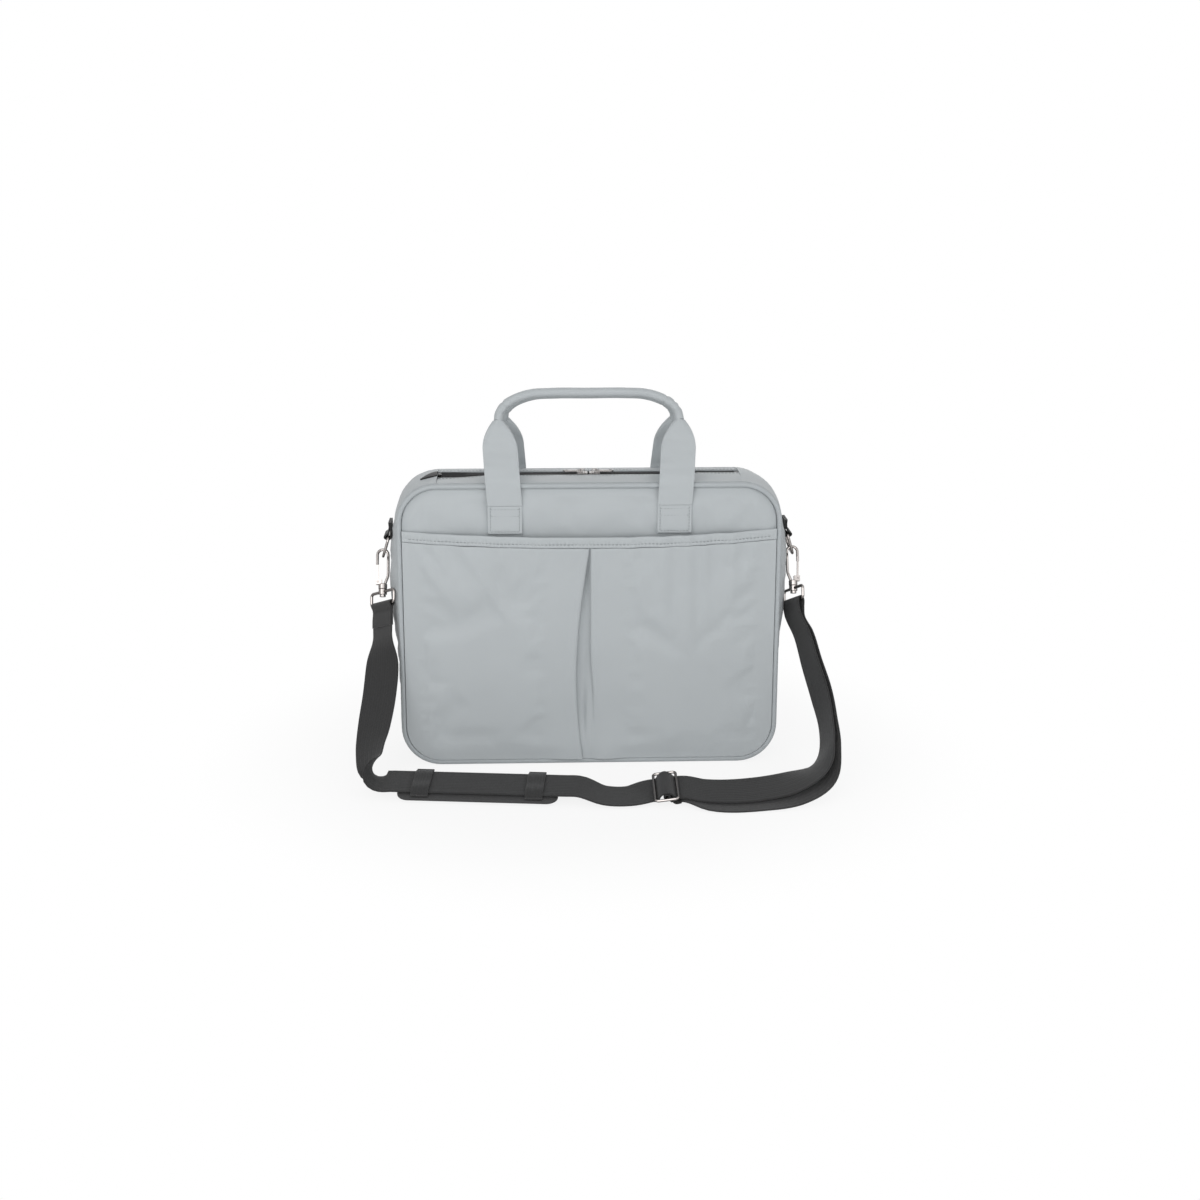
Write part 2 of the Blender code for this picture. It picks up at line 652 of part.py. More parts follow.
def make_handle(name, side):
    """Two flat legs that gather into a rolled grip, and the sewn ends that they swing from."""
    axis = Vector((0, side * (LEG_Y + STRAP_FLAT_T / 2), HINGE_Z))
    end, rise = handle_top(side)
    for part, hand in (("left", -1), ("right", 1)):
        low = HINGE_Z - ANCHOR_L
        inner = side * (PANEL_FACE + CLEAR)
        outer = side * (LEG_Y + STRAP_FLAT_T / 2)
        ys = sorted((inner, outer))
        x = hand * LEG_SPREAD
        half = STRAP_FLAT_W / 2
        anchor = node(
            f"{name}_{part}_anchor",
            box((x - half, ys[0], low), (x + half, ys[1], HINGE_Z - CLEAR / 2)),
            MATERIALS["fabric"],
            smooth=False,
        )
        soften(anchor, 0.0006)
        top = end - CLEAR
        lean = BAG_H + LEG_LEAN_Z
        flare = top - LEG_FLARE
        levels = [HINGE_Z + CLEAR / 2, lean - 0.004, lean, lean + 0.006]
        levels += [flare + LEG_FLARE * math.sin(math.radians(a)) for a in (0, 18, 36, 54, 70, 90)]
        rings = []
        for i, z in enumerate(levels):
            share = min(1.0, max(0.0, (z - flare) / LEG_FLARE))
            gather = share**2
            drift = (z - HINGE_Z) / (top - HINGE_Z)
            centre = leg_point(side, hand * (LEG_SPREAD + (GRIP_REACH - LEG_SPREAD) * drift), z)
            before = leg_point(side, 0, levels[max(0, i - 1)])
            after = leg_point(side, 0, levels[min(len(levels) - 1, i + 1)])
            out = (after - before).normalized().cross(Vector((1, 0, 0))) * side
            wide = STRAP_FLAT_W / 2 + (GRIP_D * 0.62 - STRAP_FLAT_W / 2) * gather
            thick = STRAP_FLAT_T / 2 + (GRIP_D / 2 - STRAP_FLAT_T / 2) * ease(share)
            rings.append(section_ring(centre, Vector((1, 0, 0)), out, wide, thick, 0.2 + 0.8 * gather))
        node(f"{name}_{part}_leg", lofted(rings), MATERIALS["fabric"], axis)
    reach = GRIP_REACH
    half_path = [(reach, end), (reach - 0.002, end + 0.33 * (rise - end)), (reach - 0.0085, end + 0.6 * (rise - end))]
    half_path += [(reach - 0.0205, rise - 0.0048), (reach - 0.034, rise - 0.0012), (reach - 0.055, rise), (0.0, rise)]
    path = half_path + [(-x, z) for x, z in reversed(half_path[:-1])]
    points = through([leg_point(side, x, z) for x, z in path], 3)
    lean = leg_point(side, 0, rise) - leg_point(side, 0, end)
    node(f"{name}_grip", tube(points, GRIP_D / 2, 10, False, (lean, -lean)), MATERIALS["fabric"], axis)


# Webbing


def web_loop(name, place, width, bar_d, tail, mat, flush=False, origin=(0, 0, 0)):
    """Webbing folded round a bar along local Z, its two layers sewn into a tail along local -Y."""
    bore = bar_d / 2 + CLEAR
    outer = bore + WEB_T
    half = WEB_T + 0.0001
    shift = outer - half if flush else 0.0
    start = -math.degrees(math.acos(min(1.0, (shift + half) / outer)))
    end = 360 - math.degrees(math.acos((shift - half) / outer))
    outline = arc((0, 0), outer, start, end, 12)
    outline += [(shift - half, -outer - tail), (shift + half, -outer - tail)]
    hole = arc((0, 0), bore, 0, 360, 10)[:-1]
    return node(name, plate(outline, [hole], width, place), mat, origin)


def ribbon(name, stations, per, mat, ends):
    """Flat webbing through (centre, direction across) stations."""
    route = [Vector(c) for c, _ in stations]
    centres = through(route, per)
    across = through(route, per, [Vector(w).normalized() for _, w in stations])
    rings = []
    for centre, tangent, wide in zip(centres, tangents(centres, False, ends), across):
        wide = (wide - tangent * wide.dot(tangent)).normalized()
        out = tangent.cross(wide)
        a, b = wide * STRAP_W / 2, out * WEB_T / 2
        rings.append([centre + a + b, centre - a + b, centre - a - b, centre + a - b])
    return node(name, lofted(rings), mat)


# Side hardware


def wire_loop(half_w, height, corner, bow, place):
    """Centre line of a closed wire loop hung from its top bar, with a softer bottom."""
    points = rounded(half_w, -height, 0.0, bow, 5, corner)
    return [place @ Vector((x, y, 0)) for x, y in points]


def make_side(name, side):
    """Tab, ring, swivel snap hook with its gate, and strap loop of one side."""
    x = side * HOOK_X
    ring_at = Vector((side * RING_X, 0, RING_Z))
    place = frame_of((-side, 0, 0), (0, -side, 0), ring_at)
    web_loop(f"{name}_tab", place, TAB_W, RING_WIRE_D, TAB_TAIL, MATERIALS["webbing"], flush=True)

    lean = Vector((math.cos(RING_LEAN), 0, side * math.sin(RING_LEAN)))
    place = frame_of((0, 1, 0), lean, ring_at)
    half = TAB_W / 2 + CLEAR + RING_CORNER
    points = wire_loop(half, RING_DROP, RING_CORNER, RING_BOW_R, place)
    node(f"{name}_ring", tube(points, RING_WIRE_D / 2, 8, True), MATERIALS["nickel"], ring_at)

    upright = set(bpy.data.objects)
    base = Vector((x, 0, HOOK_Z))
    seat = BOSS_H + 2 * CLEAR
    profile = [(STEM_HEAD_D / 2, -seat - STEM_HEAD_T), (STEM_HEAD_D / 2, -seat), (STEM_D / 2, -seat)]
    profile += [(STEM_D / 2, 0.0), (COLLAR_D / 2 - 0.0006, 0.0), (COLLAR_D / 2, 0.0006)]
    profile += [(COLLAR_D / 2, COLLAR_H - 0.0008), (COLLAR_D / 2 - 0.0012, COLLAR_H)]
    bm = turned(profile, 16)
    bmesh.ops.translate(bm, verts=bm.verts, vec=base)
    hook = node(f"{name}_hook", bm, MATERIALS["nickel"], base)
    bow_z = HOOK_H - HOOK_HALF
    wire = HOOK_WIRE_D / 2
    path = [Vector((0.3 * HOOK_HALF, 0, COLLAR_H - 0.0025)), Vector((0.62 * HOOK_HALF, 0, COLLAR_H + 0.003))]
    path += [Vector((0.95 * HOOK_HALF, 0, COLLAR_H + 0.008)), Vector((HOOK_HALF, 0, COLLAR_H + 0.014))]
    path = through(path, 2)
    path += [Vector((HOOK_HALF, 0, bow_z - 0.004))]
    path += [Vector((a, 0, b)) for a, b in arc((0, bow_z), HOOK_HALF, 0, 180, 8)]
    path += [Vector((-HOOK_HALF, 0, HOOK_NOSE + wire)), Vector((-HOOK_HALF, 0, HOOK_NOSE))]
    inward = Matrix.Translation(base) @ Matrix.Diagonal((-side, 1, 1, 1))
    combine(hook, helper(f"{name}_bow", tube([inward @ p for p in path], wire, 10)), "UNION")
    lug_low, lug_high = GATE_Z - LUG_H / 2, GATE_Z + LUG_H / 2
    eye = GATE_EYE_D / 2
    ends = sorted((-side * (-GATE_X - eye), -side * -0.001))
    lug = box((ends[0], -LUG_W / 2, lug_low), (ends[1], LUG_W / 2, lug_high))
    bmesh.ops.translate(lug, verts=lug.verts, vec=base)
    combine(hook, helper(f"{name}_lug", lug), "UNION")
    ends = sorted((-side * (-GATE_X - 2 * eye), -side * (-GATE_X + eye + CLEAR)))
    slot_half = GATE_W / 2 + CLEAR
    slot = box((ends[0], -slot_half, lug_low - CLEAR), (ends[1], slot_half, lug_high + 0.004))
    bmesh.ops.translate(slot, verts=slot.verts, vec=base)
    combine(hook, helper(f"{name}_slot", slot), "DIFFERENCE")
    pivot = base + Vector((side * GATE_X, 0, GATE_Z))
    reach = Vector((0, LUG_W, 0))
    bore = rod(GATE_PIN_D / 2 + CLEAR, pivot - reach, pivot + reach, 10)
    combine(hook, helper(f"{name}_pin_bore", bore), "DIFFERENCE")
    half_pin = Vector((0, LUG_W / 2 + 0.0002, 0))
    node(f"{name}_gate_pin", rod(GATE_PIN_D / 2, pivot - half_pin, pivot + half_pin, 10), MATERIALS["nickel"], pivot)

    tip = HOOK_NOSE - CLEAR - GATE_Z
    lean = -(HOOK_HALF - GATE_X)
    half = GATE_T / 2
    start = math.degrees(math.asin(half / eye))
    outline = arc((0, 0), eye, 90 + start, 450 - start, 12)
    outline += [(lean + half, tip), (lean - half, tip)]
    hole = arc((0, 0), GATE_PIN_D / 2 + CLEAR, 0, 360, 10)[:-1]
    place = frame_of((-side, 0, 0), (0, side, 0), pivot)
    node(f"{name}_gate", plate(outline, [hole], GATE_W, place), MATERIALS["nickel"], pivot)

    turn = math.radians(LEFT_TURN if side < 0 else RIGHT_TURN)
    bar = Vector((math.cos(turn), math.sin(turn), 0))
    top_bar = base - Vector((0, 0, BOSS_H / 2))
    place = frame_of(bar, bar.cross(Vector((0, 0, 1))), top_bar)
    points = wire_loop(LOOP_HALF, LOOP_H, LOOP_CORNER, LOOP_CORNER, place)
    boss = turned([(BOSS_D / 2, -BOSS_H), (BOSS_D / 2, -CLEAR)], 16)
    bmesh.ops.translate(boss, verts=boss.verts, vec=base)
    loop = node(f"{name}_base_loop", tube(points, LOOP_WIRE_D / 2, 8, True), MATERIALS["nickel"], base)
    combine(loop, helper(f"{name}_boss", boss), "UNION")
    bore = rod(STEM_D / 2 + CLEAR, base - Vector((0, 0, 2 * BOSS_H)), base + Vector((0, 0, BOSS_H)), 16)
    combine(loop, helper(f"{name}_stem_bore", bore), "DIFFERENCE")

    ring_low = Matrix.Translation(base + Vector((0, 0, HOOK_CROWN)))
    lean = ring_low @ Matrix.Rotation(-math.radians(HOOK_LEAN), 4, "X") @ ring_low.inverted()
    for obj in set(bpy.data.objects) - upright:
        obj.matrix_basis = lean @ obj.matrix_basis
    return lean @ Matrix.Translation(base) @ Matrix.Rotation(turn, 4, "Z")


# Shoulder strap


def run_frame():
    """Frame of the strap's straight stretch: X along it, Z square to the pad's face."""
    turn = math.radians(RUN_HEADING)
    along = Vector((math.cos(turn), math.sin(turn), 0))
    tilt = Matrix.Rotation(math.radians(PAD_TILT), 4, along)
    up = tilt @ Vector((0, 0, 1))
    rise = PAD_W / 2 * math.sin(math.radians(PAD_TILT)) + PAD_T / 2 * math.cos(math.radians(PAD_TILT))
    return frame_of(along, up, (PAD_X, PAD_Y, rise + 2 * CLEAR))


def make_pad(run):
    """Padded sleeve board with two webbing keepers that the strap runs under."""
    outline = rounded(PAD_L / 2, -PAD_W / 2, PAD_W / 2, 0.012, 5)
    pad = node("shoulder_pad", plate(outline, [], PAD_T, run), MATERIALS["pad"], run.translation)
    soften(pad, 0.0018)
    low = PAD_T / 2 + CLEAR
    inner_y = STRAP_W / 2 + 0.0012
    roof = low + WEB_T + 0.0012
    outer_y = inner_y + 0.004
    for name, at in (("pad_left_keeper", -KEEPER_AT), ("pad_right_keeper", KEEPER_AT)):
        outline = [(-outer_y, low), (-inner_y, low), (-inner_y + 0.001, roof), (inner_y - 0.001, roof)]
        outline += [(inner_y, low), (outer_y, low), (inner_y + 0.0012, roof + KEEPER_T)]
        outline += [(-inner_y - 0.0012, roof + KEEPER_T)]
        place = run @ Matrix.Translation((at, 0, 0)) @ frame_of((0, 1, 0), (1, 0, 0), (0, 0, 0))
        node(name, plate(outline, [], KEEPER_W, place), MATERIALS["webbing"], run.translation)


def glide_frame():
    pitch = Matrix.Rotation(-math.radians(GLIDE_PITCH), 4, "Y")
    tilt = Matrix.Rotation(math.radians(GLIDE_TILT), 4, "X")
    return Matrix.Translation((GLIDE_X, GLIDE_Y, GLIDE_Z)) @ tilt @ pitch


def make_adjuster(glide):
    """Three-bar slide and the webbing end sewn round its middle bar."""
    half_y = STRAP_W / 2 + CLEAR + GLIDE_CORNER + 0.0006
    half_x = GLIDE_L / 2 - GLIDE_WIRE_D / 2
    points = [glide @ Vector((x, y, 0)) for x, y in rounded(half_x, -half_y, half_y, GLIDE_CORNER, 4)]
    frame = node("adjuster_frame", tube(points, GLIDE_WIRE_D / 2, 8, True), MATERIALS["nickel"], glide.translation)
    reach = half_y
    bar = rod(GLIDE_WIRE_D / 2 - 0.0001, glide @ Vector((0, -reach, 0)), glide @ Vector((0, reach, 0)), 10)
    combine(frame, helper("adjuster_bar", bar), "UNION")
    drop = math.radians(GLIDE_TAIL_DROP)
    tail = Vector((math.cos(drop), 0, -math.sin(drop)))
    place = glide @ frame_of(tail.cross(Vector((0, 1, 0))) * -1, (0, 1, 0), (0, 0, 0))
    loop = web_loop(
        "adjuster_end_loop", place, STRAP_W, GLIDE_WIRE_D, GLIDE_TAIL, MATERIALS["webbing"], origin=glide.translation
    )
    return loop, tail


def make_strap(left, right, run, glide, tail):
    """Webbing from the left loop, under the pad's keepers, through the adjuster, round the right loop and back."""
    bar, up = (left.to_3x3() @ Vector(way) for way in ((1, 0, 0), (0, 0, 1)))
    bar_at = left @ Vector((0, 0, BAR_Z - HOOK_Z))
    place = frame_of(up.cross(bar), bar, bar_at)
    web_loop("strap_left_end", place, STRAP_W, LOOP_WIRE_D, END_TAIL, MATERIALS["webbing"])
    start = bar_at - up * (LOOP_WIRE_D / 2 + 2 * CLEAR + WEB_T + END_TAIL)
    face = PAD_T / 2 + 2 * CLEAR + WEB_T / 2 + 0.0004
    across = run.to_3x3() @ Vector((0, -1, 0))
    under = GLIDE_WIRE_D / 2 + CLEAR + WEB_T / 2 + 0.0004
    ride = LOOP_END + CLEAR + WEB_T / 2 + 0.0006
    bar_x = GLIDE_L / 2 - GLIDE_WIRE_D / 2
    rise = [(-bar_x - 0.003, -under), (-bar_x + 0.0012, -under), (-0.0047, 0.6 * ride), (0.0, ride)]
    rise += [(-a, b) for a, b in reversed(rise[:-1])]
    mid = [glide @ Vector((a, 0, b)) for a, b in rise]
    over = glide.to_3x3() @ Vector((0, -1, 0))
    stations = [
        (start, bar),
        (start - up * 0.012, bar),
        ((-0.2180, -0.0460, 0.1140), (0.91, -0.40, 0.08)),
        ((-0.2210, -0.0590, 0.0840), (0.94, -0.34, 0.03)),
        ((-0.2260, -0.0760, 0.0560), (0.92, -0.37, 0.12)),
        ((-0.2295, -0.0950, 0.0355), (0.80, -0.50, 0.33)),
        ((-0.2275, -0.1130, 0.0210), (0.45, -0.88, 0.05)),
        *((run @ Vector((a, 0, face)), across) for a in (-0.1, -0.088, 0.0, 0.088, 0.1)),
        ((0.012, -0.1570, 0.0068), (0, -0.985, -0.17)),
        ((0.038, -0.1570, 0.0062), (0, -0.985, -0.17)),
        *((point, over) for point in mid),
        ((0.112, -0.1575, 0.0112), (0, -0.96, -0.26)),
        ((0.165, -0.1575, 0.0118), (0, -0.955, -0.29)),
        ((0.2020, -0.1500, 0.0165), (0.12, -0.95, -0.20)),
        ((0.2310, -0.1320, 0.0250), (0.30, -0.90, 0.20)),
        ((0.2430, -0.1090, 0.0380), (0.28, -0.72, 0.63)),
        ((0.2455, -0.0860, 0.0580), (0.23, -0.71, 0.66)),
        ((0.2410, -0.0670, 0.0830), (0.31, -0.74, 0.60)),
        ((0.2330, -0.0500, 0.1110), (0.30, -0.80, 0.53)),
        ((0.2255, -0.0365, 0.1390), (0.28, -0.85, 0.45)),
    ]
    begin = -up
    bar, out, up = (right.to_3x3() @ Vector(way) for way in ((1, 0, 0), (0, 1, 0), (0, 0, 1)))
    centre = right @ Vector((0, 0, BAR_Z - HOOK_Z))
    radius = LOOP_WIRE_D / 2 + CLEAR + WEB_T / 2
    stations.append((centre - out * radius - up * 0.009, bar))
    for a in (-90, -45, 0, 45, 90):
        t = math.radians(a)
        stations.append((centre + radius * (out * math.sin(t) + up * math.cos(t)), bar))
    turn_end = centre + out * radius - up * 0.009
    stations.append((turn_end, bar))
    ribbon("strap_main", stations, 2, MATERIALS["webbing"], (begin, -up))
    tail_end = LOOP_END + GLIDE_TAIL + CLEAR
    back = [
        (turn_end - up * CLEAR, bar),
        (turn_end - up * 0.008, bar),
        ((0.2290, -0.0345, 0.1390), (0.28, -0.85, 0.45)),
        ((0.2368, -0.0480, 0.1110), (0.30, -0.80, 0.53)),
        ((0.2450, -0.0650, 0.0830), (0.31, -0.74, 0.60)),
        ((0.2500, -0.0850, 0.0570), (0.23, -0.71, 0.66)),
        ((0.2490, -0.1120, 0.0340), (0.26, -0.78, 0.55)),
        ((0.2360, -0.1415, 0.0155), (0.22, -0.93, 0.10)),
        ((0.2060, -0.1635, 0.0065), (0.1, -0.97, -0.08)),
        ((0.1650, -0.1720, 0.0022), (0, -1, -0.03)),
        ((0.1200, -0.1715, 0.0022), (0, -1, -0.03)),
        (glide @ (tail * tail_end + Vector((0.011, 0, -0.0026))), over),
        (glide @ (tail * (tail_end + 0.003)), over),
        (glide @ (tail * tail_end), over),
    ]
    ribbon("strap_return", back, 3, MATERIALS["webbing"], (-up, glide.to_3x3() @ -tail))


for old in list(bpy.data.objects):
    bpy.data.objects.remove(old, do_unlink=True)

MATERIALS = {
    "fabric": material("grey_nylon", (0.44, 0.47, 0.49), 0.62),
    "piping": material("grey_piping", (0.40, 0.43, 0.45), 0.6),
    "lining": material("lining", (0.09, 0.09, 0.10), 0.8),
    "board": material("stiffener_board", (0.08, 0.08, 0.08), 0.7),
    "webbing": material("black_webbing", (0.03, 0.03, 0.03), 0.75),
    "pad": material("pad_cover", (0.035, 0.035, 0.035), 0.8),
    "zip": material("zip_tape", (0.012, 0.012, 0.012), 0.6),
    "nickel": material("bright_nickel", (0.72, 0.70, 0.68), 0.22, 1.0),
}
LOOP_END = GLIDE_WIRE_D / 2 + CLEAR + WEB_T

for part, way in (("front", -1), ("back", 1)):
    make_panel(f"{part}_panel", way)
    make_piping(f"{part}_piping", way)
    make_mouth(part, way)
    make_handle(part, way)
make_gusset()
make_inside()
make_pocket()
for part, way in (("left", -1), ("right", 1)):
    make_stop(f"{part}_zip_stop", way)
    make_slider(f"{part}_slider", way)
left_side = make_side("left", -1)
right_side = make_side("right", 1)
straight = run_frame()
make_pad(straight)
slide = glide_frame()
end_loop, end_tail = make_adjuster(slide)
make_strap(left_side, right_side, straight, slide, end_tail)
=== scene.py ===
"""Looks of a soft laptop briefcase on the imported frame.

Cloth, piping, zip, handles, hardware and shoulder strap.
Metres and degrees, +Z up, front towards -Y, origin in the middle of the flat bottom, as in the
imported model.
"""

import logging
import math
from collections.abc import Iterable, Sequence
from dataclasses import dataclass, field
from enum import Enum

import bmesh
import bpy
from bmesh.types import BMVert
from bpy.types import Material, Node, NodeSocket, NodeTree, Object
from mathutils import Matrix, Vector, noise


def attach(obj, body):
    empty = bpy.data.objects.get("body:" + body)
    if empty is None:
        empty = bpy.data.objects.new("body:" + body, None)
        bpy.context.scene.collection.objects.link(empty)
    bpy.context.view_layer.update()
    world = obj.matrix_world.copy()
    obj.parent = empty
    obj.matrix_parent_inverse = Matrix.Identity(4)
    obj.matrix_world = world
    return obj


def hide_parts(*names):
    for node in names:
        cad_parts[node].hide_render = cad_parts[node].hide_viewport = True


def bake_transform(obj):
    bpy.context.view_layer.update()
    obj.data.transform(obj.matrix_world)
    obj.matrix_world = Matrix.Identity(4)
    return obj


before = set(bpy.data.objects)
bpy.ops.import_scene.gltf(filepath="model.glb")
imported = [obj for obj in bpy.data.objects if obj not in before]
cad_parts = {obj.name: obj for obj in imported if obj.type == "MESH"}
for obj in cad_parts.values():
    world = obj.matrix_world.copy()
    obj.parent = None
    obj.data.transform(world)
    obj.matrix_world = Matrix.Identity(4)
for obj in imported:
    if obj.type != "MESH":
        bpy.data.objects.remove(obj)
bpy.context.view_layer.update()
LOG = logging.getLogger("briefcase")

Row = list[Vector]
Grid = list[Row]
Colour = tuple[float, float, float]
Flat = tuple[float, float]
Place = tuple[float, float, float]
Route = tuple[tuple[Place, Place], ...]

# Share of a stitch's length, swell of the thread there, and its lift in thread radii
STITCH_ARCH = ((0, 0.4, -0.5), (0.15, 0.85, 0.2), (0.5, 1.0, 0.5), (0.85, 0.85, 0.2), (1, 0.4, -0.5))
# Shares of a stitch's pitch between which its thread shows
STITCH_SHOWN = (0.14, 0.86)
DRAPE_FRAMES = 18


class Slot(Enum):
    """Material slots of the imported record."""

    FABRIC = "fabric"
    PIPING = "piping"
    LINING = "lining"
    WEBBING = "webbing"
    PAD = "pad"
    ZIP = "zip"


class Effect(Enum):
    """Shared surface effects, each a shader node group."""

    WEAVE = "plain_weave"
    RIB = "webbing_rib"
    TONE = "tone_drift"
    SCUFF = "edge_scuff"


# Curves and meshes


def ease(t: float) -> float:
    """Smooth step from 0 to 1."""
    t = min(1.0, max(0.0, t))
    return t * t * (3 - 2 * t)


def ripple(x: float, y: float, z: float, size: float, seed: float = 0.0) -> float:
    """Smooth noise from about -1 to 1.

    Args:
        x: Place across, in metres.
        y: Place in depth, in metres.
        z: Height, in metres.
        size: Width of one swell, in metres.
        seed: Shift that gives another pattern.

    Returns:
        The noise at that place.
    """
    return noise.noise(Vector((x / size + 7.3 * seed, y / size - 3.1 * seed, z / size + 1.7 * seed)))


def spread(start: float, end: float, steps: int) -> list[float]:
    """Even values from start to end, both included."""
    return [start + (end - start) * i / steps for i in range(steps + 1)]


def along(points: Sequence[Vector]) -> list[float]:
    """Measures a line.

    Args:
        points: Points of the line.

    Returns:
        Distance from the first point to each point.
    """
    total = [0.0]
    for a, b in zip(points, points[1:]):
        total.append(total[-1] + (b - a).length)
    return total


def through(points: Sequence[Vector], per: int, carried: Sequence[Vector] | None = None) -> Row:
    """Smooth curve through points, or what is carried along them.

    Args:
        points: Places the curve goes through.
        per: Steps in each span.
        carried: Values smoothed in the same way in place of the points.

    Returns:
        The points of the curve, the last one included.
    """
    spans = [(b - a).length for a, b in zip(points, points[1:])]
    values = carried or points
    rates = [(b - a) / d for a, b, d in zip(values, values[1:], spans)]
    slopes = [rates[0]]
    for before, after, d, e in zip(rates, rates[1:], spans, spans[1:]):
        slopes.append((before * e + after * d) / (d + e))
    slopes.append(rates[-1])
    found = []
    for i, span in enumerate(spans):
        for k in range(per):
            t = k / per
            start = values[i] * (2 * t**3 - 3 * t**2 + 1) + slopes[i] * span * (t**3 - 2 * t**2 + t)
            end = values[i + 1] * (3 * t**2 - 2 * t**3) + slopes[i + 1] * span * (t**3 - t**2)
            found.append(start + end)
    return [*found, values[-1].copy()]


def tangents(points: Sequence[Vector], closed: bool = False) -> Row:
    """Directions along a line of points.

    Args:
        points: Points of the line.
        closed: Whether it closes on itself.

    Returns:
        A unit vector at each point.
    """
    count = len(points)
    found = []
    for i in range(count):
        before = points[i - 1] if closed or i else points[0]
        after = points[(i + 1) % count] if closed or i < count - 1 else points[-1]
        found.append((after - before).normalized())
    return found


def frame_of(x_axis: Vector, z_axis: Vector, origin: Vector) -> Matrix:
    """Matrix from two axes, with Z kept square to X.

    Args:
        x_axis: Direction of X.
        z_axis: Direction near Z.
        origin: Its place.

    Returns:
        The matrix.
    """
    x_axis = x_axis.normalized()
    y_axis = z_axis.cross(x_axis).normalized()
    z_axis = x_axis.cross(y_axis)
    return Matrix.Translation(origin) @ Matrix((x_axis, y_axis, z_axis)).transposed().to_4x4()


def between(a: Flat, b: Flat, step: float) -> list[Flat]:
    """Points between two points, about a step apart.

    Args:
        a: Point before them.
        b: Point after them.
        step: Spacing.

    Returns:
        The points, without the two ends.
    """
    count = int(math.hypot(b[0] - a[0], b[1] - a[1]) / step)
    return [(a[0] + (b[0] - a[0]) * k / count, a[1] + (b[1] - a[1]) * k / count) for k in range(1, count)]


def rounded(radius: float, drop: float) -> float:
    """How far a round corner still reaches at a drop from its start."""
    return math.sqrt(max(0.0, radius**2 - drop**2))


def band_ring(width: float, thick: float, steps: int) -> list[Flat]:
    """Section of a flat band with rounded selvedges.

    Args:
        width: Width of the band.
        thick: Its thickness.
        steps: Points across each face.

    Returns:
        Closed section as (across, out) points.
    """
    half, r = width / 2, thick / 2
    face = [(half - r) * math.sin(math.pi / 2 * t) for t in spread(-1, 1, steps)]
    ring = [(a, r) for a in face]
    ring += [(half - r + r * math.cos(t), r * math.sin(t)) for t in (math.pi / 4, 0, -math.pi / 4)]
    ring += [(a, -r) for a in reversed(face)]
    ring += [(r - half - r * math.cos(t), -r * math.sin(t)) for t in (math.pi / 4, 0, -math.pi / 4)]
    return ring


def band_along(points: Row, wide: Vector, section: Sequence[Flat]) -> Grid:
    """Lays a flat band along points.

    Args:
        points: Centre line, in a plane square to its width.
        wide: Direction across the band.
        section: Closed section as (across, out) points.

    Returns:
        A ring at each point.
    """
    grid = []
    for p, way in zip(points, tangents(points)):
        out = way.cross(wide)
        grid.append([p + wide * a + out * b for a, b in section])
    return grid


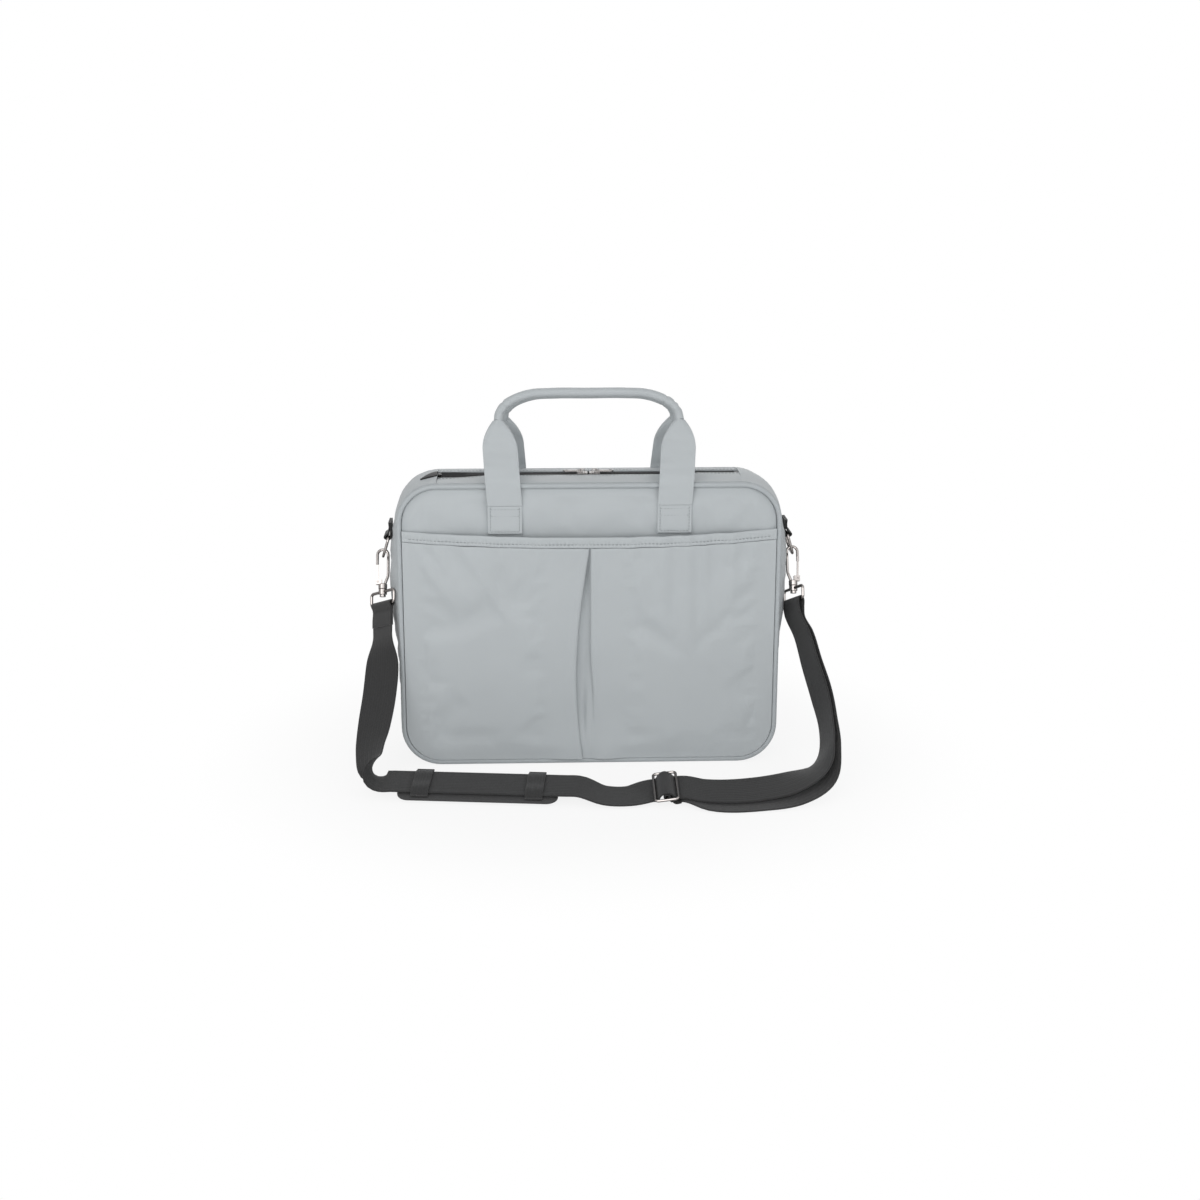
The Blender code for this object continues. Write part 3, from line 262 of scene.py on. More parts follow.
class Skin:
    """A mesh being made, with cloth coordinates in metres as its UV map."""

    def __init__(self) -> None:
        """Starts an empty mesh."""
        self.bm = bmesh.new()
        self.uv = self.bm.loops.layers.uv.new("cloth")

    def face(self, corners: Sequence[tuple[BMVert, Flat]]) -> None:
        """Adds one face.

        Args:
            corners: Vertices with their cloth coordinates.
        """
        made = self.bm.faces.new([v for v, _ in corners])
        for loop, (_, place) in zip(made.loops, corners):
            loop[self.uv].uv = place

    def patch(self, grid: Grid, wrap: bool = False) -> list[list[BMVert]]:
        """Adds a grid of points as quads.

        Args:
            grid: Rows of equally many points.
            wrap: Whether each row closes on itself.

        Returns:
            The grid's vertices, row by row.
        """
        rows = [[self.bm.verts.new(p) for p in row] for row in grid]
        middle = grid[len(grid) // 2]
        across = along([*middle, middle[0]] if wrap else middle)
        down = along([row[len(row) // 2] for row in grid])
        count = len(middle)
        for i in range(len(grid) - 1):
            for j in range(count if wrap else count - 1):
                k = (j + 1) % count
                corners = ((i, j, j), (i, k, j + 1), (i + 1, k, j + 1), (i + 1, j, j))
                self.face([(rows[a][b], (across[c], down[a])) for a, b, c in corners])
        return rows

    def cap(self, row: Sequence[BMVert]) -> None:
        """Closes a ring with a fan to its middle.

        Args:
            row: The ring's vertices.
        """
        centre = sum((v.co for v in row), Vector()) / len(row)
        hub = self.bm.verts.new(centre)
        for a, b in zip(row, [*row[1:], row[0]]):
            self.face([(v, (v.co.x + v.co.y, v.co.z)) for v in (a, b, hub)])

    def rings(self, grid: Grid) -> None:
        """Adds a closed skin through rings, with both ends capped.

        Args:
            grid: The rings.
        """
        rows = self.patch(grid, wrap=True)
        self.cap(rows[0])
        self.cap(rows[-1])

    def slab(self, outer: Grid, inner: Grid) -> None:
        """Adds a closed body between two faces.

        Args:
            outer: Rows of points of the outer face.
            inner: As many of the inner one.
        """
        top = self.patch(outer)
        low = self.patch(inner)
        rows, cols = len(top), len(top[0])
        rim = [(0, j) for j in range(cols)]
        rim += [(i, cols - 1) for i in range(1, rows)]
        rim += [(rows - 1, j) for j in range(cols - 2, -1, -1)]
        rim += [(i, 0) for i in range(rows - 2, 0, -1)]
        for (a, b), (c, d) in zip(rim, rim[1:] + rim[:1]):
            corners = (top[a][b], low[a][b], low[c][d], top[c][d])
            self.face([(v, (v.co.x + v.co.y, v.co.z)) for v in corners])

    def tube(self, points: Row, radii: Sequence[float], sides: int, closed: bool = False) -> None:
        """Adds a round cord along points.

        Args:
            points: Centre line.
            radii: Radius at each point.
            sides: Points in each ring.
            closed: Whether the line closes on itself.
        """
        ways = tangents(points, closed)
        side = ways[0].orthogonal().normalized()
        if abs(ways[0].y) < 0.9:
            side = ways[0].cross(Vector((0, 1, 0))).normalized()
        turns = [2 * math.pi * k / sides for k in range(sides)]
        grid = []
        for point, way, radius in zip(points, ways, radii):
            side = (side - way * side.dot(way)).normalized()
            up = way.cross(side)
            grid.append([point + radius * (math.cos(t) * side + math.sin(t) * up) for t in turns])
        if closed:
            self.patch([*grid, [p.copy() for p in grid[0]]], wrap=True)
            bmesh.ops.remove_doubles(self.bm, verts=self.bm.verts, dist=1e-6)
        else:
            self.rings(grid)

    def stitch(self, start: Vector, end: Vector, out: Vector, radius: float) -> None:
        """Adds one thread stitch that arches out of the cloth.

        Args:
            start: Where it comes up.
            end: Where it goes down.
            out: Direction out of the cloth.
            radius: Radius of the thread.
        """
        way = (end - start).normalized()
        side = way.cross(out).normalized()
        turns = [math.pi * k / 3 for k in range(6)]
        spokes = [math.cos(a) * side + math.sin(a) * out for a in turns]
        grid = []
        for t, swell, lift in STITCH_ARCH:
            centre = start.lerp(end, t) + out * lift * radius
            grid.append([centre + radius * swell * spoke for spoke in spokes])
        self.rings(grid)

    def seam(self, points: Row, outs: Row, pitch: float, radius: float) -> None:
        """Adds a row of stitches along a line.

        Args:
            points: Line on the cloth.
            outs: Direction out of the cloth at each point.
            pitch: Length of a stitch and the gap after it.
            radius: Radius of the thread.
        """
        marks = along(points)
        count = max(1, round(marks[-1] / pitch))

        def at(distance: float) -> tuple[Vector, Vector]:
            """Finds a place on the line.

            Args:
                distance: Distance along it.

            Returns:
                The point and the direction out of the cloth.
            """
            k = 0
            while k < len(marks) - 2 and marks[k + 1] < distance:
                k += 1
            t = (distance - marks[k]) / max(1e-9, marks[k + 1] - marks[k])
            return points[k].lerp(points[k + 1], t), outs[k].lerp(outs[k + 1], t).normalized()

        for i in range(count):
            low, high = (marks[-1] * (i + share) / count for share in STITCH_SHOWN)
            a, out = at(low)
            self.stitch(a, at(high)[0], out, radius)

    def object(self, name: str, finish: Material, sharp: float = 50.0) -> Object:
        """Turns the mesh into an object.

        Args:
            name: Name of the piece.
            finish: Its material.
            sharp: Angle in degrees over which an edge stays sharp.

        Returns:
            The object, in the scene.
        """
        bmesh.ops.recalc_face_normals(self.bm, faces=self.bm.faces)
        mesh = bpy.data.meshes.new(name)
        self.bm.to_mesh(mesh)
        self.bm.free()
        mesh.materials.append(finish)
        mesh.shade_smooth()
        mesh.set_sharp_from_angle(angle=math.radians(sharp))
        obj = bpy.data.objects.new(name, mesh)
        bpy.context.scene.collection.objects.link(obj)
        return obj


def draped(grid: Grid, loose: Sequence[Sequence[float]], extra: float, cap: float) -> Grid:
    """Lets a sheet with a little extra cloth buckle between its seams, by a cloth simulation.

    Args:
        grid: Rows of points of the sheet.
        loose: How freely each point moves, from 0 at a seam to 1.
        extra: Share of extra cloth.
        cap: Most that a point may move.

    Returns:
        The grid after it has settled.
    """
    skin = Skin()
    skin.patch(grid)
    obj = skin.object("draped_sheet", bpy.data.materials[0])
    pins = obj.vertex_groups.new(name="seams")
    weights = [w for row in loose for w in row]
    for i, weight in enumerate(weights):
        pins.add([i], 1.0 - weight, "REPLACE")
    step = obj.modifiers.new("Cloth", "CLOTH")
    step.settings.quality = 4
    step.settings.mass = 0.3
    step.settings.tension_stiffness = 20
    step.settings.compression_stiffness = 20
    step.settings.shear_stiffness = 8
    step.settings.bending_stiffness = 1.5
    step.settings.air_damping = 3
    step.settings.vertex_group_mass = pins.name
    step.settings.shrink_min = -extra
    step.settings.use_pressure = True
    step.settings.uniform_pressure_force = 0.25
    step.settings.effector_weights.gravity = 0.0
    step.collision_settings.use_collision = False
    step.point_cache.frame_end = DRAPE_FRAMES
    scene = bpy.context.scene
    begin = scene.frame_current
    for number in range(1, DRAPE_FRAMES + 1):
        scene.frame_set(number)
    shaped = obj.evaluated_get(bpy.context.evaluated_depsgraph_get()).data
    places = [v.co.copy() for v in shaped.vertices]
    scene.frame_set(begin)
    bpy.data.objects.remove(obj)
    found, count = [], 0
    for row in grid:
        settled = []
        for p in row:
            move = (places[count] - p) * min(1.0, 3 * weights[count])
            settled.append(p + move * min(1.0, cap / max(cap, move.length)))
            count += 1
        found.append(settled)
    return found


def carried(inner: Grid, before: Grid, after: Grid) -> Grid:
    """Moves the inner face of a sheet with its outer face.

    Args:
        inner: The inner face.
        before: The outer face as it was.
        after: The outer face as it is.

    Returns:
        The inner face in its new place.
    """
    rows = zip(inner, before, after)
    return [[p + (b - a) for p, a, b in zip(low, was, now)] for low, was, now in rows]


def settle(obj: Object, body: str, slot: Slot, *nodes: str) -> Object:
    """Rides a piece on a body, hides the nodes it stands for, and reports it.

    Args:
        obj: The piece, in place.
        body: Body that it moves with.
        slot: Material slot of the record. Not used.
        nodes: Solids that it replaces.

    Returns:
        The piece.
    """
    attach(obj, body)
    if nodes:
        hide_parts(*nodes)
    LOG.info("%s: %d faces on %s", obj.name, len(obj.data.polygons), body)
    return obj


def settle_between(
    obj: Object, bodies: tuple[str, str], ends: tuple[Vector, Vector], slot: Slot, *nodes: str
) -> Object:
    """Bakes a piece's place into its mesh, hides the nodes it stands for, and reports it with both bodies.

    Args:
        obj: The piece, in place.
        bodies: Body before the start and body after the end.
        ends: Two places along the piece, between the bodies. Not used.
        slot: Material slot of the record. Not used.
        nodes: Solids that it replaces.

    Returns:
        The piece.
    """
    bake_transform(obj)
    if nodes:
        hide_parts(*nodes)
    LOG.info("%s: %d faces between %s and %s", obj.name, len(obj.data.polygons), *bodies)
    return obj


def repaint(node: str, finish: Material) -> None:
    """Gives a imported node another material.

    Args:
        node: The node.
        finish: The material.
    """
    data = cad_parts[node].data
    data.materials.clear()
    data.materials.append(finish)
    LOG.info("%s: repainted with %s", node, finish.name)


# Finishes


class Wiring:
    """Adds and links shader nodes in one tree."""

    def __init__(self, tree: NodeTree) -> None:
        """Keeps the tree."""
        self.tree = tree

    def add(self, kind: str, **values: object) -> Node:
        """Adds a node.

        Args:
            kind: Blender's name for the kind of node.
            values: Its properties.

        Returns:
            The node.
        """
        made = self.tree.nodes.new(kind)
        for key, value in values.items():
            setattr(made, key, value)
        return made

    def set(self, socket: NodeSocket, value: object) -> None:
        """Links an output, or stores a plain value, into a socket.

        Args:
            socket: The socket.
            value: The output or the value.
        """
        if isinstance(value, NodeSocket):
            self.tree.links.new(value, socket)
        else:
            socket.default_value = value

    def math(self, operation: str, *values: object) -> NodeSocket:
        """Adds a Math node.

        Args:
            operation: Name of the operation.
            values: Its values or outputs, in order.

        Returns:
            Its output.
        """
        made = self.add("ShaderNodeMath", operation=operation)
        for socket, value in zip(made.inputs, values):
            self.set(socket, value)
        return made.outputs[0]

    def group(self, effect: Effect, **values: object) -> Node:
        """Places a shared effect.

        Args:
            effect: Which effect.
            values: Its inputs by name.

        Returns:
            The group node.
        """
        made = self.add("ShaderNodeGroup", node_tree=shared(effect))
        for key, value in values.items():
            self.set(made.inputs[key], value)
        return made


def shared(effect: Effect) -> NodeTree:
    """The node group of an effect, built once.

    Args:
        effect: Which effect.

    Returns:
        Its node tree.
    """
    found = bpy.data.node_groups.get(effect.value)
    if found:
        return found
    tree = bpy.data.node_groups.new(effect.value, "ShaderNodeTree")
    makers = {
        Effect.WEAVE: build_weave,
        Effect.RIB: build_rib,
        Effect.TONE: build_tone,
        Effect.SCUFF: build_scuff,
    }
    makers[effect](tree)
    return tree


def sockets(
    tree: NodeTree, takes: dict[str, object], gives: Iterable[str]
) -> tuple[Wiring, dict, dict]:
    """Makes a group's sockets.

    Args:
        tree: The group.
        takes: Input names with their starting values; None stands for a vector.
        gives: Names of the float outputs.

    Returns:
        Its wiring, its inputs by name and its outputs by name.
    """
    for name, value in takes.items():
        kind = "NodeSocketVector" if value is None else "NodeSocketFloat"
        made = tree.interface.new_socket(name, in_out="INPUT", socket_type=kind)
        if value is not None:
            made.default_value = value
    for name in gives:
        tree.interface.new_socket(name, in_out="OUTPUT", socket_type="NodeSocketFloat")
    wiring = Wiring(tree)
    source = wiring.add("NodeGroupInput")
    sink = wiring.add("NodeGroupOutput")
    return wiring, {s.name: s for s in source.outputs}, {s.name: s for s in sink.inputs}


def build_weave(tree: NodeTree) -> None:
    """Plain weave: threads that pass over and under each other, with painted shade in the gaps between them.

    Args:
        tree: The empty group.
    """
    w, takes, gives = sockets(tree, {"Vector": None, "Threads": 2000.0}, ("Height", "PaintedGapShade"))
    split = w.add("ShaderNodeSeparateXYZ")
    w.set(split.inputs[0], takes["Vector"])
    count = w.math("MULTIPLY", takes["Threads"], math.pi)
    u = w.math("SINE", w.math("MULTIPLY", split.outputs[0], count))
    v = w.math("SINE", w.math("MULTIPLY", split.outputs[1], count))
    w.set(gives["Height"], w.math("MULTIPLY_ADD", w.math("MULTIPLY", u, v), 0.5, 0.5))
    # Painted shade: darker in the gaps between the threads
    gap_u = w.math("SUBTRACT", 1.0, w.math("ABSOLUTE", u))
    gap_v = w.math("SUBTRACT", 1.0, w.math("ABSOLUTE", v))
    w.set(gives["PaintedGapShade"], w.math("MULTIPLY", gap_u, gap_v))


def build_rib(tree: NodeTree) -> None:
    """Webbing: lengthwise wales with slanting ribs that turn at each wale, with painted shade in the grooves
    between them.

    Args:
        tree: The empty group.
    """
    w, takes, gives = sockets(tree, {"Vector": None, "Ribs": 700.0, "Wales": 420.0}, ("Height", "PaintedGapShade"))
    split = w.add("ShaderNodeSeparateXYZ")
    w.set(split.inputs[0], takes["Vector"])
    wale = w.math("MULTIPLY", split.outputs[0], takes["Wales"])
    zigzag = w.math("PINGPONG", wale, 1.0)
    rib = w.math("ADD", w.math("MULTIPLY", split.outputs[1], takes["Ribs"]), zigzag)
    wave = w.math("ABSOLUTE", w.math("SINE", w.math("MULTIPLY", rib, math.pi)))
    column = w.math("ABSOLUTE", w.math("SINE", w.math("MULTIPLY", wale, math.pi)))
    both = w.math("MULTIPLY", w.math("POWER", wave, 0.6), w.math("POWER", column, 0.4))
    w.set(gives["Height"], both)
    # Painted shade: darker in the grooves between ribs and wales
    w.set(gives["PaintedGapShade"], w.math("SUBTRACT", 1.0, both))


def build_tone(tree: NodeTree) -> None:
    """Slow drift of tone over a surface, about 1.

    Args:
        tree: The empty group.
    """
    w, takes, gives = sockets(tree, {"Vector": None, "Swells": 14.0, "Depth": 0.05}, ("Tone",))
    cloud = w.add("ShaderNodeTexNoise")
    w.set(cloud.inputs["Vector"], takes["Vector"])
    w.set(cloud.inputs["Scale"], takes["Swells"])
    cloud.inputs["Detail"].default_value = 3.0
    centred = w.math("SUBTRACT", cloud.outputs["Fac"], 0.5)
    w.set(gives["Tone"], w.math("ADD", 1.0, w.math("MULTIPLY", centred, takes["Depth"])))


def build_scuff(tree: NodeTree) -> None:
    """Mask of the raised edges that hands and floors rub.

    Args:
        tree: The empty group.
    """
    w, takes, gives = sockets(tree, {"Vector": None, "Start": 0.53, "End": 0.62}, ("Worn",))
    shape = w.add("ShaderNodeNewGeometry")
    edge = w.add("ShaderNodeMapRange")
    w.set(edge.inputs["Value"], shape.outputs["Pointiness"])
    w.set(edge.inputs["From Min"], takes["Start"])
    w.set(edge.inputs["From Max"], takes["End"])
    cloud = w.add("ShaderNodeTexNoise")
    w.set(cloud.inputs["Vector"], takes["Vector"])
    cloud.inputs["Scale"].default_value = 160.0
    w.set(gives["Worn"], w.math("MULTIPLY", edge.outputs["Result"], cloud.outputs["Fac"]))


def surface(name: str) -> tuple[Material, Wiring, Node]:
    """A new material.

    Args:
        name: Name of the finish.

    Returns:
        The material, its wiring and its Principled shader.
    """
    made = bpy.data.materials.new(name)
    made.use_nodes = True
    return made, Wiring(made.node_tree), made.node_tree.nodes["Principled BSDF"]


def tinted(w: Wiring, colour: Colour, factor: NodeSocket) -> NodeSocket:
    """A colour multiplied by a tone.

    Args:
        w: Wiring of the material.
        colour: Linear colour.
        factor: Tone about 1.

    Returns:
        The toned colour.
    """
    made = w.add("ShaderNodeMix", data_type="RGBA", blend_type="MULTIPLY")
    made.inputs["Factor"].default_value = 1.0
    made.inputs["A"].default_value = (*colour, 1.0)
    w.set(made.inputs["B"], factor)
    return made.outputs["Result"]


def mixed_wear_and_shade(
    w: Wiring, colour: NodeSocket, wear: Colour, mask: NodeSocket
) -> NodeSocket:
    """A colour that turns into another under a mask: real wear on cloth and webbing, painted dark reflection
    on metal rims.

    Args:
        w: Wiring of the material.
        colour: Colour to start from.
        wear: Linear colour under the mask, the worn colour on cloth and the painted rim shade on metal.
        mask: Where cloth is worn, and where metal turns away for its painted shade.

    Returns:
        The mixed colour.
    """
    made = w.add("ShaderNodeMix", data_type="RGBA")
    w.set(made.inputs["Factor"], mask)
    w.set(made.inputs["A"], colour)
    made.inputs["B"].default_value = (*wear, 1.0)
    return made.outputs["Result"]


def raised(
    w: Wiring, shader: Node, height: NodeSocket, strength: float, depth: float
) -> None:
    """Feeds a height through a Bump node into a shader's normal.

    Args:
        w: Wiring of the material.
        shader: Its shader.
        height: The height.
        strength: Strength of the bump.
        depth: Depth of the bump.
    """
    bump = w.add("ShaderNodeBump")
    bump.inputs["Strength"].default_value = strength
    bump.inputs["Distance"].default_value = depth
    w.set(bump.inputs["Height"], height)
    w.set(shader.inputs["Normal"], bump.outputs["Normal"])


@dataclass(frozen=True)
class ClothFinish:
    """Woven cloth with a soft sheen."""

    name: str
    colour: Colour
    roughness: float = 0.55
    sheen: float = 0.12
    threads: float = 1900.0
    relief: float = 0.25
    drift: float = 0.10
    wear: float = 1.12

    def material(self) -> Material:
        """Makes the cloth's material.

        Returns:
            The material.
        """
        made, w, shader = surface(self.name)
        cloth = w.add("ShaderNodeUVMap", uv_map="cloth").outputs["UV"]
        place = w.add("ShaderNodeTexCoord").outputs["Object"]
        weave = w.group(Effect.WEAVE, Vector=cloth, Threads=self.threads)
        tone = w.group(Effect.TONE, Vector=place, Swells=11.0, Depth=self.drift)
        # Painted shade: the weave's gaps darken the cloth's colour
        grain = w.math("MULTIPLY_ADD", weave.outputs["PaintedGapShade"], -0.22, 1.03)
        colour = tinted(w, self.colour, w.math("MULTIPLY", tone.outputs["Tone"], grain))
        scuff = w.group(Effect.SCUFF, Vector=place)
        worn = tuple(min(1.0, c * self.wear) for c in self.colour)
        w.set(shader.inputs["Base Color"], mixed_wear_and_shade(w, colour, worn, scuff.outputs["Worn"]))
        w.set(shader.inputs["Roughness"], w.math("MULTIPLY", tone.outputs["Tone"], self.roughness))
        shader.inputs["Sheen Weight"].default_value = self.sheen
        shader.inputs["Sheen Roughness"].default_value = 0.45
        shader.inputs["Specular IOR Level"].default_value = 0.35
        raised(w, shader, weave.outputs["Height"], self.relief, depth=0.0002)
        return made


@dataclass(frozen=True)
class WebbingFinish:
    """Ribbed webbing of coarse yarn."""

    name: str
    colour: Colour
    roughness: float = 0.72
    ribs: float = 620.0
    wales: float = 360.0

    def material(self) -> Material:
        """Makes the webbing's material.

        Returns:
            The material.
        """
        made, w, shader = surface(self.name)
        cloth = w.add("ShaderNodeUVMap", uv_map="cloth").outputs["UV"]
        place = w.add("ShaderNodeTexCoord").outputs["Object"]
        rib = w.group(Effect.RIB, Vector=cloth, Ribs=self.ribs, Wales=self.wales)
        tone = w.group(Effect.TONE, Vector=place, Swells=26.0, Depth=0.3)
        # Painted shade: the grooves between ribs darken the webbing's colour
        grain = w.math("MULTIPLY_ADD", rib.outputs["PaintedGapShade"], -0.45, 1.12)
        colour = tinted(w, self.colour, w.math("MULTIPLY", tone.outputs["Tone"], grain))
        scuff = w.group(Effect.SCUFF, Vector=place)
        worn = tuple(min(1.0, c * 1.7) for c in self.colour)
        w.set(shader.inputs["Base Color"], mixed_wear_and_shade(w, colour, worn, scuff.outputs["Worn"]))
        w.set(shader.inputs["Roughness"], w.math("MULTIPLY", tone.outputs["Tone"], self.roughness))
        shader.inputs["Sheen Weight"].default_value = 0.2
        shader.inputs["Specular IOR Level"].default_value = 0.3
        raised(w, shader, rib.outputs["Height"], strength=0.6, depth=0.0003)
        return made


@dataclass(frozen=True)
class MetalFinish:
    """Bright plated metal with fine scratches, and painted dark reflections where it turns away."""

    name: str
    colour: Colour
    # Colour of the painted dark reflection where the metal turns away
    shade: Colour
    roughness: float = 0.2

    def material(self) -> Material:
        """Makes the metal's material.

        Returns:
            The material.
        """
        made, w, shader = surface(self.name)
        place = w.add("ShaderNodeTexCoord").outputs["Object"]
        tone = w.group(Effect.TONE, Vector=place, Swells=240.0, Depth=0.5)
        fine = w.group(Effect.TONE, Vector=place, Swells=2600.0, Depth=0.4)
        # Painted reflection: darker towards the rims, in place of dark surroundings
        turned = w.add("ShaderNodeLayerWeight")
        turned.inputs["Blend"].default_value = 0.68
        plate = tinted(w, self.colour, fine.outputs["Tone"])
        w.set(shader.inputs["Base Color"], mixed_wear_and_shade(w, plate, self.shade, turned.outputs["Facing"]))
        both = w.math("MULTIPLY", tone.outputs["Tone"], fine.outputs["Tone"])
        w.set(shader.inputs["Roughness"], w.math("MULTIPLY", both, self.roughness))
        shader.inputs["Metallic"].default_value = 1.0
        raised(w, shader, fine.outputs["Tone"], strength=0.05, depth=0.0001)
        return made


@dataclass(frozen=True)
class PlainFinish:
    """Moulded or spun material with fine mottle and no weave."""

    name: str
    colour: Colour
    roughness: float = 0.5
    grain: float = 900.0

    def material(self) -> Material:
        """Makes the material.

        Returns:
            The material.
        """
        made, w, shader = surface(self.name)
        place = w.add("ShaderNodeTexCoord").outputs["Object"]
        tone = w.group(Effect.TONE, Vector=place, Swells=self.grain, Depth=0.35)
        w.set(shader.inputs["Base Color"], tinted(w, self.colour, tone.outputs["Tone"]))
        w.set(shader.inputs["Roughness"], w.math("MULTIPLY", tone.outputs["Tone"], self.roughness))
        shader.inputs["Specular IOR Level"].default_value = 0.35
        raised(w, shader, tone.outputs["Tone"], strength=0.2, depth=0.0002)
        return made


GREY = (0.445, 0.475, 0.490)
CHARCOAL = (0.022, 0.022, 0.0225)


class Wardrobe:
    """Every material of the case, made once."""

    def __init__(self) -> None:
        """Makes the materials."""
        self.cloth = ClothFinish("grey_nylon", GREY).material()
        self.piping = ClothFinish("grey_piping", (0.41, 0.44, 0.455), threads=2600.0).material()
        self.lining = ClothFinish("dark_lining", (0.075, 0.077, 0.082), 0.7, 0.1, 2400.0).material()
        self.pad = ClothFinish("pad_cover", (0.042, 0.042, 0.043), 0.75, 0.2, 1300.0, 0.5).material()
        self.webbing = WebbingFinish("black_webbing", CHARCOAL).material()
        self.tape = ClothFinish("zip_tape", (0.010, 0.010, 0.011), 0.7, 0.1, 1500.0, 0.4).material()
        self.coil = PlainFinish("zip_coil", (0.012, 0.012, 0.012), 0.35).material()
        # Thread grey darkened past its own colour as painted shade, so the stitches read as dark dashes
        self.thread = PlainFinish("grey_thread", (0.27, 0.29, 0.30), 0.6, 4000.0).material()
        self.black_thread = PlainFinish("black_thread", (0.05, 0.05, 0.05), 0.6, 4000.0).material()
        self.board = PlainFinish("stiff_board", (0.06, 0.06, 0.06), 0.6, 300.0).material()
        # The nickel's second colour is its painted dark reflection at the rims
        self.nickel = MetalFinish("bright_nickel", (0.46, 0.43, 0.415), (0.03, 0.02, 0.018)).material()


# Body of the case


@dataclass
class CaseBody:
    """Panels, piping, gusset and inside of the case."""

    wardrobe: Wardrobe
    half_w: float = 0.200
    height: float = 0.305
    half_d: float = 0.0425
    corner: float = 0.042
    pipe_r: float = 0.00275
    clear: float = 0.0003
    panel_t: float = 0.006
    panel_face: float = 0.0435
    panel_turn: float = 0.0024
    panel_puff: float = 0.0012
    panel_crease: float = 0.0010
    gusset_t: float = 0.003
    side_swell: float = 0.010
    swell_z: float = 0.205
    bare_z: float = 0.244
    swell_cap: float = 0.060
    swell_span: float = 0.085
    top_crown: float = 0.004
    divider_low: float = 0.0061
    divider_high: float = 0.263
    divider_foot: float = 0.039
    divider_head: float = 0.021
    divider_y: float = 0.004
    hold_start: float = 0.0068
    hold_end: float = 0.0372
    hold_z: float = 0.243
    hold_w: float = 0.040
    hold_t: float = 0.002

    @property
    def seam_half(self) -> float:
        """Middle of the case to the gusset's seam."""
        return self.half_d - self.pipe_r - self.clear

    @property
    def inset(self) -> float:
        """Outside of the case to a panel's edge."""
        return 2 * self.pipe_r + self.clear

    @property
    def top_half(self) -> float:
        """Middle of the case to the start of a top corner."""
        return self.half_w - self.corner

    def half_at(self, z: float) -> float:
        """Half width of a panel.

        Args:
            z: Height.

        Returns:
            The half width there.
        """
        radius = self.corner - self.inset
        drop = max(self.inset + radius - z, z - (self.height - self.inset - radius), 0.0)
        return self.half_w - self.inset - radius + rounded(radius, drop)

    def swell(self, z: float) -> float:
        """How far the gusset's middle stands out past the piping.

        Args:
            z: Height.

        Returns:
            The distance.
        """
        span = self.swell_cap if z > self.swell_z else self.swell_span
        bell = math.exp(-(((z - self.swell_z) / span) ** 2))
        side = self.side_swell * bell * ease(z / (1.6 * self.corner))
        return side + (self.top_crown - side) * ease((z - self.height + self.corner) / self.corner)

    def crown(self, y: float) -> float:
        """Share of the swell at a depth."""
        return 1 - (y / self.seam_half) ** 2

    def outline(self, inset: float, lift: float, step: float) -> list[Flat]:
        """Rounded outline of the case, closed, counter-clockwise.

        Args:
            inset: How far inside the case's outline.
            lift: Extra height of the bottom edge.
            step: Spacing of the points.

        Returns:
            Points as (x, z).
        """
        half, high = self.half_w - inset, self.height - inset
        low, radius = inset + lift, self.corner - inset
        found: list[Flat] = []
        x, bottom, top = half - radius, low + radius, high - radius
        for cx, cz, start in ((x, bottom, -90), (x, top, 0), (-x, top, 90), (-x, bottom, 180)):
            for a in spread(start, start + 90, 12):
                t = math.radians(a)
                point = (cx + radius * math.cos(t), cz + radius * math.sin(t))
                if found:
                    found += between(found[-1], point, step)
                found.append(point)
        return found + between(found[-1], found[0], step)

    def panel(self, name: str, side: int) -> None:
        """Builds a padded panel that rounds off into its piping.

        Args:
            name: Node that it replaces.
            side: -1 for the front and 1 for the back.
        """
        low, high = self.inset, self.height - self.inset
        radius = self.corner - self.inset
        arc = [radius * (1 - math.cos(math.radians(a))) for a in spread(0, 90, 9)]
        levels = [low + a for a in arc] + spread(low + radius, high - radius, 44)[1:-1]
        levels += [high - a for a in reversed(arc)]
        outer, inner, loose = [], [], []
        for z in levels:
            half = self.half_at(z)
            front, back, free = [], [], []
            for t in spread(-1, 1, 84):
                x = half * (0.7 * t + 0.3 * math.sin(math.pi / 2 * t))
                edge = min(half - abs(x), z - low, high - z)
                bared = 1.0 if side > 0 else ease((z - self.bare_z) / 0.02)
                puff = self.panel_puff * ease(edge / 0.03) * bared
                crease = self.panel_crease * ripple(x + 0.5 * z, side, 0.35 * z, 0.032, 1.0)
                crease *= ease(edge / 0.012) * bared
                y = self.panel_face - self.panel_turn * (1 - ease(edge / 0.009)) + puff + crease
                front.append(Vector((x, side * y, z)))
                back.append(Vector((x, side * (self.panel_face - self.panel_t), z)))
                free.append(ease((edge - 0.003) / 0.012) * bared)
            outer.append(front)
            inner.append(back)
            loose.append(free)
        skin = Skin()
        skin.slab(draped(outer, loose, extra=0.008, cap=0.0016), inner)
        made = settle(skin.object(name + "_cloth", self.wardrobe.cloth), "case", Slot.FABRIC, name)

    def piping(self, name: str, side: int) -> None:
        """Builds a round of piping with slight puckers.

        Args:
            name: Node that it replaces.
            side: -1 for the front and 1 for the back.
        """
        outline = self.outline(self.pipe_r, self.clear, 0.004)
        points = [Vector((x, side * self.half_d, z)) for x, z in outline]
        radii = [self.pipe_r * (0.985 + 0.03 * ripple(p.x, side, p.z, 0.007, 2.0)) for p in points]
        skin = Skin()
        skin.tube(points, radii, 14, closed=True)
        settle(skin.object(name + "_cord", self.wardrobe.piping), "case", Slot.PIPING, name)

